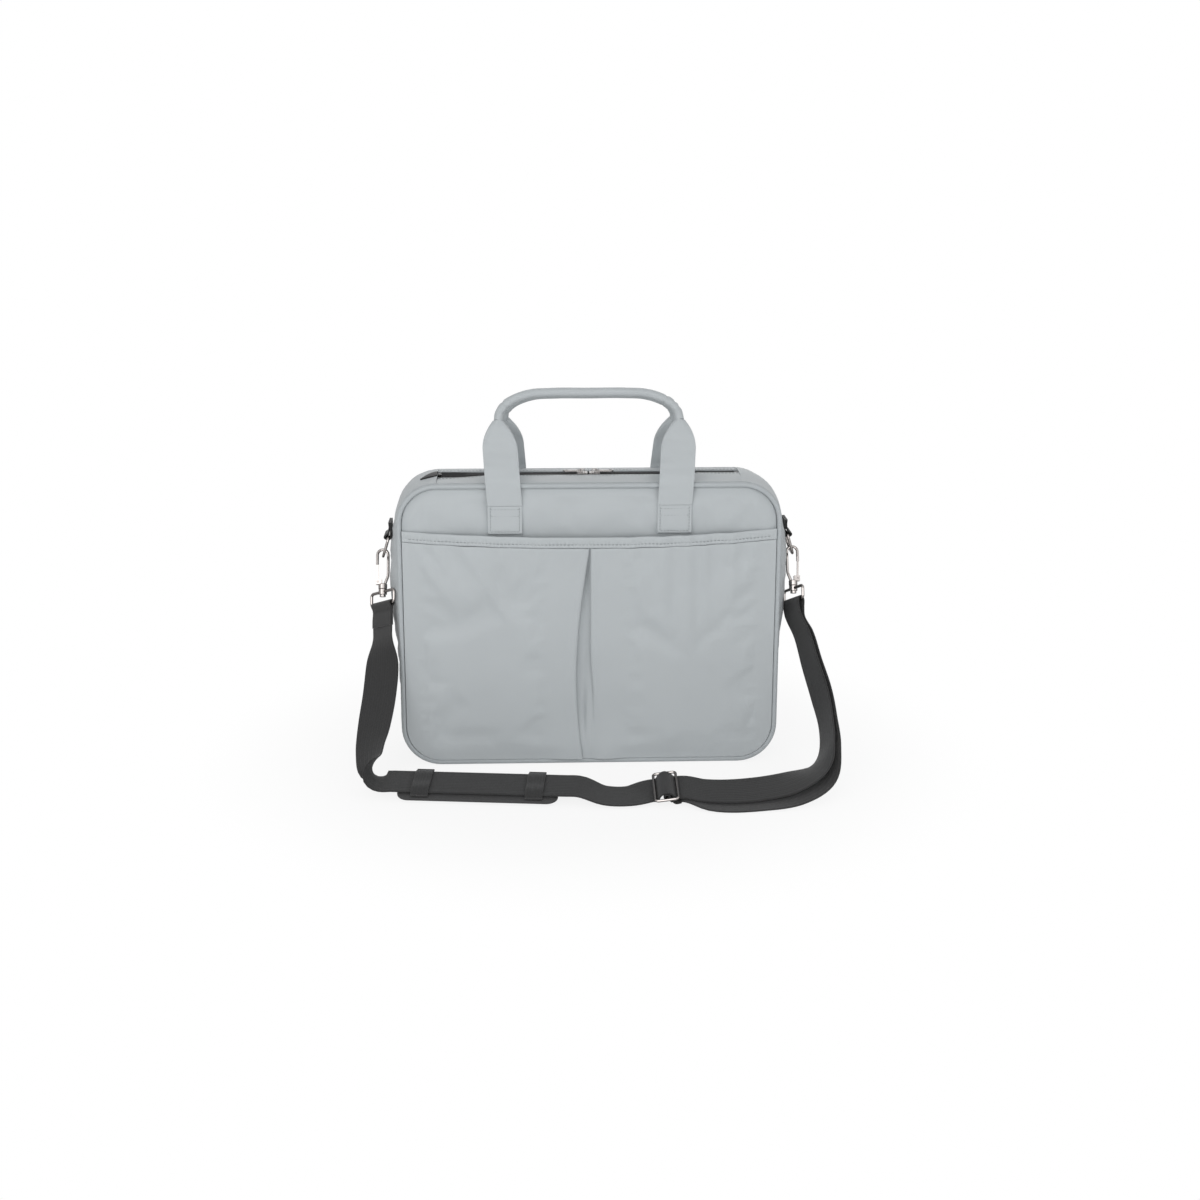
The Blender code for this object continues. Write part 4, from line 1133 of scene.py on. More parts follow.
    def gusset(self) -> None:
        """Builds the band of the sides and the bottom, swelling between its two seams."""
        r, high = self.corner, self.height - self.corner
        upper, lower = ([math.radians(a) for a in spread(start, start + 90, 14)] for start in (90, 180))
        left = [(-self.top_half + r * math.cos(t), high + r * math.sin(t), t) for t in upper]
        left += [(-self.half_w, z, math.pi) for z in spread(high, r, 44)[1:-1]]
        left += [(-self.top_half + r * math.cos(t), r + r * math.sin(t), t) for t in lower]
        flat = spread(-self.top_half, self.top_half, 36)[1:-1]
        stations = left + [(x, 0.0, 1.5 * math.pi) for x in flat]
        stations += [(-x, z, math.pi - t) for x, z, t in reversed(left)]
        outer, inner, loose = [], [], []
        for x, z, t in stations:
            out = Vector((math.cos(t), 0, math.sin(t)))
            free = 0.8 * ease((z - 0.03) / 0.05) * ease((0.282 - z) / 0.03)
            loose.append([free * (1 - share**4) for share in spread(-1, 1, 28)])
            front, back = [], []
            for share in spread(-1, 1, 28):
                y = self.seam_half * math.sin(math.pi / 2 * share)
                calm = ease(z / 0.06) * (1 - share**4)
                crease = 0.0013 * ripple(x, y, z, 0.03, 3.0) + 0.0007 * ripple(x, 0.4 * y, z, 0.014, 4.0)
                rise = self.swell(z) * self.crown(y) + crease * calm
                front.append(Vector((x, y, z)) + out * rise)
                back.append(Vector((x, y, z)) + out * (rise - self.gusset_t))
            outer.append(front)
            inner.append(back)
        skin = Skin()
        hung = draped(outer, loose, extra=0.01, cap=0.0012)
        skin.slab(hung, carried(inner, outer, hung))
        settle(skin.object("gusset_cloth", self.wardrobe.cloth), "case", Slot.FABRIC, "gusset_band")

    def inside(self) -> None:
        """Builds the padded divider and its hold-down strap, and dresses the bottom board."""
        low, high = self.divider_low, self.divider_high
        foot, head = self.divider_foot, self.divider_head
        wall = self.half_w - self.gusset_t - self.clear
        outer, inner = [], []
        for z in spread(low, high, 40):
            half = wall - foot + rounded(foot, max(0.0, low + foot - z))
            half = min(half, wall - head + rounded(head, max(0.0, z - high + head)))
            front, back = [], []
            for t in spread(-1, 1, 48):
                x = half * math.sin(math.pi / 2 * t)
                edge = min(half - abs(x), high - z)
                thick = 0.0008 + 0.0017 * ease(edge / 0.01)
                front.append(Vector((x, self.divider_y - thick, z)))
                back.append(Vector((x, self.divider_y + thick, z)))
            outer.append(front)
            inner.append(back)
        skin = Skin()
        skin.slab(outer, inner)
        made = skin.object("divider_cloth", self.wardrobe.lining)
        settle(made, "case", Slot.LINING, "divider")
        section = band_ring(self.hold_w, self.hold_t, 8)
        grid = []
        for t in spread(0, 1, 24):
            y = self.hold_start + (self.hold_end - self.hold_start) * t
            sag = 0.0004 * math.sin(math.pi * t)
            grid.append([Vector((a, y, self.hold_z + b - sag)) for a, b in section])
        skin = Skin()
        skin.rings(grid)
        made = skin.object("laptop_strap_web", self.wardrobe.webbing)
        settle(made, "case", Slot.LINING, "laptop_strap")
        repaint("base_board", self.wardrobe.board)

    def build(self) -> None:
        """Builds the whole body."""
        for part, side in (("front", -1), ("back", 1)):
            self.panel(f"{part}_panel", side)
            self.piping(f"{part}_piping", side)
        self.gusset()
        self.inside()


# Front pocket


@dataclass
class FrontPocket:
    """Pocket cloth with its inverted pleat, and the sewn hem along its top."""

    body: CaseBody
    drop: float = 0.055
    swell: float = 0.012
    hem_h: float = 0.0116
    hem_t: float = 0.0022
    hem_sag: float = 0.006
    fold: float = 0.016
    part: float = 0.014
    sunk: float = 0.004
    layer: float = 0.0015
    folds_x: float = -0.0036
    folds_half: float = 0.022
    seam_turn: float = 0.08
    cloth_t: float = 0.0007
    hem_pitch: float = 0.0041
    hem_groove: int = 4
    hem_pucker: float = 0.0004
    plain_column: int = 20
    hem_profile: tuple[Flat, ...] = (
        *((0.0, 0.15), (0.05, 0.75), (0.16, 1.0), (0.27, 0.85), (0.33, 0.55), (0.39, 0.85), (0.5, 1.0)),
        *((0.75, 1.05), (0.9, 0.9), (0.97, 0.55), (1.0, 0.1), (0.97, -0.6), (0.85, -0.95), (0.5, -1.0)),
        *((0.15, -0.95), (0.03, -0.5)),
    )
    # Right of the pleat where it gapes: distance from it, and depth in half layers
    parted: tuple[Flat, ...] = (
        *((-0.004, 4.0), (-0.0015, 3.7), (0.0005, 3.1), (0.0022, 2.4)),
        *((0.004, 1.7), (0.006, 1.0), (0.0085, 0.35), (0.012, 0.0)),
    )
    # Each crease: its place along the hem, length, width, height and lean
    creases: tuple[tuple[float, float, float, float, float], ...] = (
        (0.042, 0.07, 0.008, 0.0020, 0.04),
        (0.075, 0.12, 0.008, 0.0030, 0.03),
        (0.101, 0.15, 0.007, 0.0032, 0.02),
        (0.118, 0.11, 0.006, 0.0027, 0.05),
        (0.147, 0.13, 0.009, 0.0031, 0.03),
        (0.172, 0.06, 0.007, 0.0009, -0.10),
        (-0.186, 0.10, 0.009, 0.0019, 0.64),
        (-0.163, 0.09, 0.008, 0.0017, 0.58),
        (-0.132, 0.12, 0.010, 0.0020, 0.62),
        (-0.096, 0.08, 0.009, 0.0014, 0.40),
        (-0.056, 0.06, 0.009, 0.0008, 0.10),
    )

    @property
    def rise(self) -> float:
        """Height of the cloth from its bottom seam to the hem, in the middle."""
        return self.body.height - self.drop - self.hem_h - self.body.inset

    def hem_low(self, x: float) -> float:
        """Height of the hem's lower edge."""
        share = x / (self.body.half_w - self.body.inset)
        return self.body.height - self.drop - self.hem_h + self.hem_sag * share**2

    def out(self, x: float, v: float) -> float:
        """How far the cloth's middle stands out from the panel's face.

        Args:
            x: Place across.
            v: Level, from 0 at the bottom seam to 1 at the hem.

        Returns:
            The distance.
        """
        half = self.body.half_at(self.body.inset + v * self.rise)
        across = max(0.0, 1 - abs(x / half) ** 2.2)
        lift = 0.32 + 0.68 * math.sin(math.pi / 2 * min(1.0, 1.7 * v)) - 0.16 * ease(v)
        folded = 1 - ease((abs(x - self.folds_x) - self.folds_half) / self.folds_half)
        sewn = (2 * self.layer + self.body.clear / 2) * folded
        hung = (self.swell * across * lift - sewn) * ease(v / self.seam_turn)
        return self.body.clear + 0.0005 + sewn + hung

    def relief(self, x: float, z: float) -> float:
        """Soft creases that hang from the hem, and slow swells of the cloth.

        Args:
            x: Place across.
            z: Height.

        Returns:
            How far the cloth stands out for them.
        """
        top = self.hem_low(x)
        total = 0.0
        for at, length, width, height, lean in self.creases:
            aside = (x - at - lean * (top - z)) / width
            total += height * math.exp(-(aside**2)) * (1 - ease((top - z) / length))
        slow = 0.0020 * ripple(x, 0, 0.5 * z, 0.07, 5.0) + 0.0008 * ripple(x, 0, 0.6 * z, 0.025, 6.0)
        half = self.body.half_at(z)
        calm = ease((half - abs(x)) / 0.03) * ease((z - self.body.inset) / 0.03)
        return total * calm + slow * calm * (0.35 + 0.65 * ease((top - z) / 0.03))

    def line(self, v: float) -> list[Flat]:
        """Points across the cloth, through the pleat.

        Args:
            v: Level, from 0 at the bottom seam to 1 at the hem.

        Returns:
            Points as (x, depth behind the face).
        """
        half = self.body.half_at(self.body.inset + v * self.rise)
        h = self.layer / 2
        left = -h - self.part * math.sin(0.83 * math.pi * (1 - v))
        right = h
        shut = ease((v - 0.14) / 0.42)
        sides = [1.0, 0.985, 0.96, 0.93, 0.88, 0.82, 0.74, 0.66, 0.57, 0.48, 0.39, 0.30, 0.22]
        line = [(-half * s, 0.0) for s in sides]
        inner = left - self.fold
        line += [(inner, 0), (left - 0.5 * self.fold, 0), (left - h, 0), (left, h), (left - h, 2 * h)]
        line += [(inner + h, 2 * h), (inner, 3 * h), (inner + h, 4 * h)]
        deep = self.sunk * ease((v - 0.06) / 0.2) * ease((1 - v) / 0.15)
        line += [(left - h, 4 * h + 0.6 * deep), ((left + right) / 2, 4 * h + deep)]
        inner = right + self.fold
        closed = [(right - h, 4 * h + 0.6 * deep), (inner - h, 4 * h), (inner, 3 * h), (inner - h, 2 * h)]
        closed += [(right + h, 2 * h), (right, h), (right + h, 0), (right + 0.5 * self.fold, 0)]
        for (x, d), (shift, depth) in zip(closed, self.parted):
            line.append((right + shift + (x - right - shift) * shut, depth * h + (d - depth * h) * shut))
        line += [(right + self.fold + 0.012, 0.0)]
        return line + [(half * s, 0.0) for s in reversed(sides)]

    def cloth(self) -> None:
        """Builds the pocket's cloth."""
        body = self.body
        radius = body.corner - body.inset
        levels = [radius * (1 - math.cos(math.radians(a))) / self.rise for a in spread(0, 90, 10)]
        levels += spread(levels[-1], 1.0, 46)[1:]
        outer, inner, loose = [], [], []
        for v in levels:
            flat = [Vector((x, d, 0)) for x, d in self.line(v)]
            fine = through(flat, 4)
            half = body.half_at(body.inset + v * self.rise)
            free = [ease((half - abs(p.x)) / 0.03) * ease((abs(p.x + 0.004) - 0.03) / 0.02) for p in fine]
            loose.append([f * ease(v / 0.12) * ease((1 - v) / 0.05) for f in free])
            points = []
            for p in fine:
                z = body.inset + v * (self.hem_low(p.x) - body.inset)
                show = 1 - ease(p.y / (3 * self.layer))
                y = -body.panel_face - self.out(p.x, v) + p.y - self.relief(p.x, z) * show
                points.append(Vector((p.x, y, z)))
            front, back = [], []
            for p, way in zip(points, tangents([Vector((p.x, p.y, 0)) for p in points])):
                step = Vector((way.y, -way.x, 0)) * self.cloth_t / 2
                front.append(p + step)
                back.append(p - step)
            outer.append(front)
            inner.append(back)
        skin = Skin()
        hung = draped(outer, loose, extra=0.010, cap=0.0022)
        skin.slab(hung, carried(inner, outer, hung))
        made = skin.object("pocket_cloth", body.wardrobe.cloth, sharp=75.0)
        settle(made, "case", Slot.FABRIC, "front_pocket")

    def hem(self) -> None:
        """Builds the hem, a rolled band with a groove under its stitches."""
        body = self.body
        half = body.half_w - body.inset
        groove = self.hem_profile[self.hem_groove][0]
        grid, line, outs = [], [], []
        for x in spread(-half, half, 380):
            middle = -body.panel_face - max(self.out(x, 1.0), body.clear + self.hem_t / 2)
            low = self.hem_low(x) + body.clear
            calm = ease((half - abs(x)) / 0.02)
            ring = []
            for t, d in self.hem_profile:
                z = low + t * self.hem_h
                near = math.exp(-(((t - groove) / 0.2) ** 2)) * (d > 0)
                pucker = self.hem_pucker * math.sin(2 * math.pi * x / self.hem_pitch) * near
                y = middle - d * self.hem_t / 2 - pucker - calm * 0.8 * self.relief(x, low)
                ring.append(Vector((x, y, z + 0.0004 * ripple(x, 0, 0, 0.03, 7.0) * calm)))
            grid.append(ring)
            line.append(ring[self.hem_groove] + Vector((0, -0.0001, 0)))
            outs.append(Vector((0, -1, 0)))
        skin = Skin()
        skin.rings(grid)
        settle(skin.object("hem_cloth", body.wardrobe.cloth, sharp=70.0), "case", Slot.FABRIC, "pocket_hem")
        skin = Skin()
        skin.seam(line[6:-6], outs[6:-6], self.hem_pitch, radius=0.0004)
        settle(skin.object("hem_stitches", body.wardrobe.thread), "case", Slot.FABRIC)

    def build(self) -> None:
        """Builds the pocket and its hem."""
        self.cloth()
        self.hem()


# Zip and mouth


@dataclass
class ZipMouth:
    """The two top flaps with their tapes and coils, and the zip's metal."""

    body: CaseBody
    strip_t: float = 0.002
    bare_half: float = 0.0075
    lap: float = 0.005
    tape_t: float = 0.0008
    coil_w: float = 0.0022
    coil_t: float = 0.0022
    coil_part: float = 0.0008
    pitch: float = 0.0016
    stop_l: float = 0.003
    bend_at: float = 0.100
    seam_in: float = 0.0035
    end_sweep: float = 22.0
    end_half: float = 0.0095
    front_dip: float = 0.0015
    left_dip: float = 0.0003
    left_sink: float = 0.0022
    # Section of a seam allowance from its seam, as depth and height
    fold: tuple[Flat, ...] = ((-0.006, 0.0), (0.0016, 0.0), (0.0016, -0.0008), (-0.006, -0.0008))
    # Points across a flap, as shares of its width from the seam
    rows: tuple[float, ...] = (0, 0.06, 0.15, 0.27, 0.4, 0.55, 0.7, 0.8, 0.87, 0.9, 0.93, 0.97)

    @property
    def zip_z(self) -> float:
        """Height of the tape's middle."""
        return self.body.height + self.body.top_crown - self.strip_t - self.body.clear - self.tape_t / 2

    def top(self, y: float) -> float:
        """Height of a flap's face at a depth."""
        return self.body.height + self.body.top_crown * self.body.crown(y)

    def dip(self, x: float) -> float:
        """How far the front flap's edge lies below the back one's."""
        return self.front_dip * ease((0.115 - x) / 0.02) + self.left_dip * ease((-0.105 - x) / 0.03)

    def sink(self, x: float) -> float:
        """How far the zip sinks towards its left end."""
        return self.left_sink * ease((-0.095 - x) / 0.05)

    def stretches(self) -> list[tuple[str, float, float]]:
        """Parts a flap into a left, a middle and a right stretch.

        Returns:
            Each as (name, start, end).
        """
        end = self.body.top_half - self.body.clear
        bend = self.bend_at
        return [("left", -end, -bend), ("mid", -bend, bend), ("right", bend, end)]

    def place(self, obj: Object, part: str, stretch: str, slot: Slot, *nodes: str) -> None:
        """Rides a middle stretch on its flap, or bakes an end stretch's place into its mesh.

        Args:
            obj: The piece.
            part: Front or back.
            stretch: Left, mid or right.
            slot: Material slot.
            nodes: Solids that it replaces.
        """
        flap = f"{part}_flap"
        if stretch == "mid":
            settle(obj, flap, slot, *nodes)
            return
        hand = -1 if stretch == "left" else 1
        ends = (Vector((hand * self.body.top_half, 0, 0)), Vector((hand * self.bend_at, 0, 0)))
        settle_between(obj, ("case", flap), ends, slot, *nodes)

    def strip(self, part: str, side: int, stretch: str, start: float, end: float) -> None:
        """Builds one stretch of a flap's cloth with its folded edge and stitches.

        Args:
            part: Front or back.
            side: -1 for the front and 1 for the back.
            stretch: Left, mid or right.
            start: Left end.
            end: Right end.
        """
        body = self.body
        inner, outer = self.bare_half, body.seam_half
        ys = [outer + (inner - outer) * t for t in self.rows]
        grid, line, outs = [], [], []
        for x in spread(start, end, max(8, round((end - start) / 0.005))):
            ring = []
            dip, sink = (self.dip(x), self.sink(x)) if side < 0 else (0.0, 0.0)
            for y in ys:
                calm = ease((outer - y) / 0.006) * ease((y - inner) / 0.004)
                wave = 0.0007 * ripple(x, y, side, 0.022, 8.0) * calm
                groove = -0.00035 * math.exp(-(((y - inner - self.seam_in) / 0.0007) ** 2))
                sunk = (dip + sink) * ease((outer - y) / (outer - inner))
                ring.append(Vector((x, side * y, self.top(y) + wave + groove - sunk)))
            tip = self.top(inner) - dip - sink
            slim = 1 - dip / self.strip_t
            for dy, dz in ((0.0002, -0.0003), (0.0, -0.0010), (0.0002, -0.0017), (0.0008, -0.0020)):
                ring.append(Vector((x, side * (inner + dy), tip + dz * slim)))
            for y in reversed(ys[:-1]):
                sunk = sink * ease((outer - y) / (outer - inner))
                ring.append(Vector((x, side * y, self.top(y) - self.strip_t - sunk)))
            grid.append(ring)
            y = inner + self.seam_in
            sunk = (dip + sink) * ease((outer - y) / (outer - inner))
            line.append(Vector((x, side * y, self.top(y) - 0.0002 - sunk)))
            outs.append(Vector((0, 0, 1)))
        skin = Skin()
        skin.rings(grid)
        nodes = (f"{part}_strip",) if stretch == "mid" else ()
        made = skin.object(f"{part}_strip_{stretch}", body.wardrobe.cloth, sharp=70.0)
        self.place(made, part, stretch, Slot.FABRIC, *nodes)
        skin = Skin()
        skin.seam(line, outs, pitch=0.0038, radius=0.0003)
        made = skin.object(f"{part}_strip_seam_{stretch}", body.wardrobe.thread)
        self.place(made, part, stretch, Slot.FABRIC)

    def tape(self, part: str, side: int, stretch: str, start: float, end: float) -> None:
        """Builds one stretch of zip tape and of its coil.

        Args:
            part: Front or back.
            side: -1 for the front and 1 for the back.
            stretch: Left, mid or right.
            start: Left end.
            end: Right end.
        """
        trim = self.stop_l + 2 * self.body.clear
        reach = self.body.top_half - trim
        start, end = max(start, -reach), min(end, reach)
        under = self.top(self.bare_half + self.lap) - self.strip_t - self.body.clear
        coil = self.coil_part + self.coil_w
        flat = [(coil - 0.0006, self.zip_z), (self.bare_half, min(under + self.tape_t / 2, self.zip_z))]
        flat += [(self.bare_half + self.lap, under - self.tape_t / 2)]
        h = self.tape_t / 2
        section = [(y, z + h) for y, z in flat] + [(y, z - h) for y, z in reversed(flat)]
        grid = []
        for x in spread(start, end, max(8, round((end - start) / 0.006))):
            turned = self.sink(x) / self.left_sink * (side > 0)
            ring = [Vector((x, side * y, z - self.sink(x))) for y, z in section]
            for i, up in ((1, 0.0034), (4, 0.0030)):
                ring[i] += Vector((0, -side * 0.0004, up)) * turned
            grid.append(ring)
        skin = Skin()
        skin.rings(grid)
        nodes = (f"{part}_zip_tape",) if stretch == "mid" else ()
        made = skin.object(f"{part}_tape_{stretch}", self.body.wardrobe.tape)
        self.place(made, part, stretch, Slot.ZIP, *nodes)
        skin = Skin()
        half_z, near = self.coil_t / 2, self.coil_part
        bulges = ((near, 0.55, 0.6), (near + 0.0004, 0.8, 1.0), (coil - 0.0005, 0.7, 0.95), (coil, 0.4, 0.5))
        count = int((end - start) / self.pitch)
        shift = 0.5 if side > 0 else 0.0
        for i in range(count):
            x = start + (i + 0.25 + 0.5 * shift) * self.pitch
            middle = self.zip_z - self.sink(x)
            turn = []
            for y, wide, tall in bulges:
                ring = []
                for k in range(8):
                    a = 2 * math.pi * (k + 0.5) / 8
                    across, up = 0.0006 * wide * math.cos(a), half_z * tall * math.sin(a)
                    ring.append(Vector((x + across, side * y, middle + up)))
                turn.append(ring)
            skin.rings(turn)
        made = skin.object(f"{part}_coil_{stretch}", self.body.wardrobe.coil)
        self.place(made, part, stretch, Slot.ZIP)

    def allowance(self, part: str, side: int) -> None:
        """Builds the seam allowance inside the case, under the edge that a flap bends at.

        Args:
            part: Front or back.
            side: -1 for the front and 1 for the back.
        """
        edge = self.body.seam_half
        low = self.top(edge) - self.strip_t - 0.0008
        end = self.body.top_half - 0.001
        grid = []
        for x in spread(-end, end, 60):
            grid.append([Vector((x, side * (edge + a), low + b)) for a, b in self.fold])
        skin = Skin()
        skin.rings(grid)
        settle(skin.object(f"{part}_seam_allowance", self.body.wardrobe.lining), "case", Slot.LINING)

    def left_end(self) -> None:
        """Builds the tape's sewn-down left end, which tapers away over the gusset's corner."""
        body = self.body
        outer, inner = [], []
        for gone in spread(0, 1, 16):
            t = math.radians(90 + self.end_sweep * gone)
            out = Vector((math.cos(t), 0, math.sin(t)))
            foot = Vector((-body.top_half, 0, body.height - body.corner)) + out * body.corner
            middle = -0.0065 - 0.0125 * gone
            half = self.end_half * (1 - gone**1.5) + 0.0003
            top, low = [], []
            for share in spread(-1, 1, 10):
                y = middle + half * share
                rise = body.swell(foot.z) * body.crown(y) + 0.0010
                top.append(foot + out * (rise + 0.0003 * (1 - share**2)) + Vector((0, y, 0)))
                low.append(foot + out * (rise - 0.0016) + Vector((0, y, 0)))
            outer.append(top)
            inner.append(low)
        skin = Skin()
        skin.slab(outer, inner)
        settle(skin.object("left_tape_end", body.wardrobe.tape), "case", Slot.ZIP)

    def build(self) -> None:
        """Builds both flaps and dresses the zip's metal."""
        self.left_end()
        for part, side in (("front", -1), ("back", 1)):
            self.allowance(part, side)
            for stretch, start, end in self.stretches():
                self.strip(part, side, stretch, start, end)
                self.tape(part, side, stretch, start, end)
        for node in ("left_slider", "right_slider", "left_pull", "right_pull"):
            repaint(node, self.body.wardrobe.nickel)
        for node in ("left_zip_stop", "right_zip_stop"):
            repaint(node, self.body.wardrobe.coil)


# Handles


@dataclass
class Handle:
    """One carrying handle: sewn ends, flat legs that gather, and a rolled grip."""

    body: CaseBody
    part: str
    side: int
    strap_w: float = 0.036
    strap_t: float = 0.0026
    anchor_l: float = 0.030
    edge_r: float = 0.0012
    stitch_in: float = 0.003
    leg_wave: float = 0.0005
    leg_crease: float = 0.0011
    hinge_drop: float = 0.0225
    leg_spread: float = 0.0875
    lean_z: float = 0.004
    leg_rise: float = 0.061
    flare: float = 0.028
    grip_d: float = 0.0093
    grip_rise: float = 0.0885
    grip_reach: float = 0.0938
    grip_step: float = 0.0035
    grip_part: float = 0.0012
    pinches: tuple[float, ...] = (-0.0866, 0.0796, 0.0868, 0.0905)
    toe_in: Flat = (0.0, 0.0)

    @property
    def leg_y(self) -> float:
        """Middle of the case to the middle of a leg."""
        return self.body.half_d + self.body.pipe_r + self.body.clear + self.strap_t / 2

    @property
    def hinge_z(self) -> float:
        """Height of the line that the handle swings from."""
        return self.body.height - self.hinge_drop

    @property
    def neck_z(self) -> float:
        """Height where a leg becomes the grip."""
        return self.body.height + self.leg_rise - self.grip_step * (self.side > 0)

    @property
    def grip_z(self) -> float:
        """Height of the grip's axis."""
        return self.body.height + self.grip_rise - self.grip_step * (self.side > 0)

    def point(self, x: float, z: float) -> Vector:
        """Finds a point on the handle's leaning middle surface.

        Args:
            x: Place across.
            z: Height.

        Returns:
            The point.
        """
        start = self.body.height + self.lean_z
        grip_y = (self.grip_d + self.grip_part) / 2
        slope = (self.leg_y - grip_y) / (self.grip_z - start)
        return Vector((x, self.side * (self.leg_y - slope * max(0.0, z - start)), z))

    def anchor(self, name: str, hand: int) -> None:
        """Builds a sewn end with its box of stitches.

        Args:
            name: Node that it replaces.
            hand: -1 for the left and 1 for the right.
        """
        body = self.body
        high = self.hinge_z - body.clear / 2
        low = self.hinge_z - self.anchor_l
        face = self.leg_y + self.strap_t / 2
        back = body.panel_face + body.clear
        half = self.strap_w / 2
        outer, inner = [], []
        for z in spread(low, high, 20):
            front, rear = [], []
            for t in spread(-1, 1, 26):
                x = hand * self.leg_spread + half * math.sin(math.pi / 2 * t)
                edge = min(half - abs(x - hand * self.leg_spread), z - low)
                round_off = self.edge_r - rounded(self.edge_r, max(0.0, self.edge_r - edge))
                groove = 0.0005 * math.exp(-(((edge - self.stitch_in) / 0.0008) ** 2))
                cloth = 0.0002 * ripple(x, 0, z, 0.009, 12.0) * ease((high - z) / 0.004)
                front.append(Vector((x, self.side * (face - round_off - groove + cloth), z)))
                rear.append(Vector((x, self.side * back, z)))
            outer.append(front)
            inner.append(rear)
        skin = Skin()
        skin.slab(outer, inner)
        settle(skin.object(name + "_cloth", body.wardrobe.cloth, sharp=60.0), "case", Slot.FABRIC, name)
        skin = Skin()
        x, y = hand * self.leg_spread, self.side * (face - 0.0003)
        wide, foot, head = half - self.stitch_in, low + self.stitch_in, high - 0.0012
        box = [(-wide, head), (-wide, foot), (wide, foot), (wide, head)]
        lines = list(zip(box, box[1:]))
        lines += [((-wide, level), (wide, level)) for level in (high - 0.0035, high - 0.0105)]
        out = Vector((0, self.side, 0))
        for a, b in lines:
            ends = [Vector((x + a[0], y, a[1])), Vector((x + b[0], y, b[1]))]
            skin.seam(ends, [out, out], pitch=0.0034, radius=0.00032)
        settle(skin.object(name + "_stitches", body.wardrobe.thread), "case", Slot.FABRIC)

    def leg(self, name: str, hand: int) -> None:
        """Builds a leg that gathers from a flat strap into the grip.

        Args:
            name: Node that it replaces.
            hand: -1 for the left and 1 for the right.
        """
        low = self.hinge_z + self.body.clear / 2
        top = self.neck_z - self.body.clear
        flare = top - self.flare
        levels = spread(low, flare, 26)[:-1]
        levels += [flare + self.flare * math.sin(math.radians(a)) for a in spread(0, 90, 26)]
        grid = []
        for i, z in enumerate(levels):
            share = min(1.0, max(0.0, (z - flare) / self.flare))
            gather = share**2
            drift = (z - self.hinge_z) / (top - self.hinge_z)
            inward = self.toe_in[hand > 0] * ease((z - self.hinge_z) / 0.024)
            reach = self.leg_spread + (self.grip_reach - self.leg_spread) * drift - inward
            centre = self.point(hand * reach, z)
            below, above = levels[max(0, i - 1)], levels[min(len(levels) - 1, i + 1)]
            rise = self.point(0, above) - self.point(0, below)
            out = rise.normalized().cross(Vector((1, 0, 0))) * self.side
            wide = self.strap_w / 2 + (self.grip_d * 0.62 - self.strap_w / 2) * gather
            thick = self.strap_t / 2 + (self.grip_d / 2 - self.strap_t / 2) * ease(share)
            square = 0.2 + 0.8 * gather
            ring = []
            for k in range(40):
                turn = 2 * math.pi * (k + 0.5) / 40
                a = math.copysign(abs(math.cos(turn)) ** square, math.cos(turn))
                b = math.copysign(abs(math.sin(turn)) ** square, math.sin(turn))
                pleats = 1 - 0.07 * share * (1 - gather) * 2 * math.cos(6 * turn + hand)
                wave = self.leg_wave * ripple(a * wide, b, z, 0.014, 9.0 + hand)
                crease = ripple(0.35 * a * wide, 0, z + 0.2 * a * wide, 0.007, 11.0 + hand)
                crease *= self.leg_crease * max(b, 0) * ease((z - low) / 0.02)
                bump = thick * pleats + (wave + crease) * (1 - gather)
                ring.append(centre + Vector((1, 0, 0)) * (wide * a) + out * (bump * b))
            grid.append(ring)
        skin = Skin()
        skin.rings(grid)
        ends = (Vector((0, 0, self.hinge_z)), Vector((0, 0, self.hinge_z + 0.014)))
        made = skin.object(name + "_cloth", self.body.wardrobe.cloth, sharp=60.0)
        settle_between(made, ("case", f"{self.part}_handle"), ends, Slot.FABRIC, name)

    def grip(self) -> None:
        """Builds the rolled grip, soft and slightly creased where it turns down."""
        end, rise = self.neck_z, self.grip_z
        reach, tall = self.grip_reach, rise - end
        half = [(reach, end), (reach - 0.002, end + 0.33 * tall), (reach - 0.0085, end + 0.6 * tall)]
        half += [(reach - 0.0205, rise - 0.0048), (reach - 0.034, rise - 0.0012)]
        half += [(reach - 0.055, rise), (0.0, rise)]
        path = [(x - self.toe_in[1] * ease(x / reach), z) for x, z in half]
        path += [(self.toe_in[0] * ease(x / reach) - x, z) for x, z in reversed(half[:-1])]
        points = through([self.point(x, z) for x, z in path], 14)
        radii = []
        for p in points:
            turn = math.exp(-(((abs(p.x) - reach + 0.008) / 0.009) ** 2))
            crease = 0.09 * turn * ripple(p.x, p.y, p.z, 0.0045, 10.0)
            pinch = 0.0
            for at in self.pinches:
                pinch += 0.13 * math.exp(-(((p.x - at) / 0.0012) ** 2)) * (p.z < rise - 0.002)
            uneven = 0.025 * ripple(p.x, 0, p.z, 0.02, 11.0)
            radii.append(self.grip_d / 2 * (0.985 - pinch + crease + uneven))
        skin = Skin()
        skin.tube(points, radii, 24)
        made = skin.object(f"{self.part}_grip_roll", self.body.wardrobe.cloth)
        settle(made, f"{self.part}_handle", Slot.FABRIC, f"{self.part}_grip")

    def build(self) -> None:
        """Builds the handle."""
        for name, hand in (("left", -1), ("right", 1)):
            self.anchor(f"{self.part}_{name}_anchor", hand)
            self.leg(f"{self.part}_{name}_leg", hand)
        self.grip()


# Side hardware


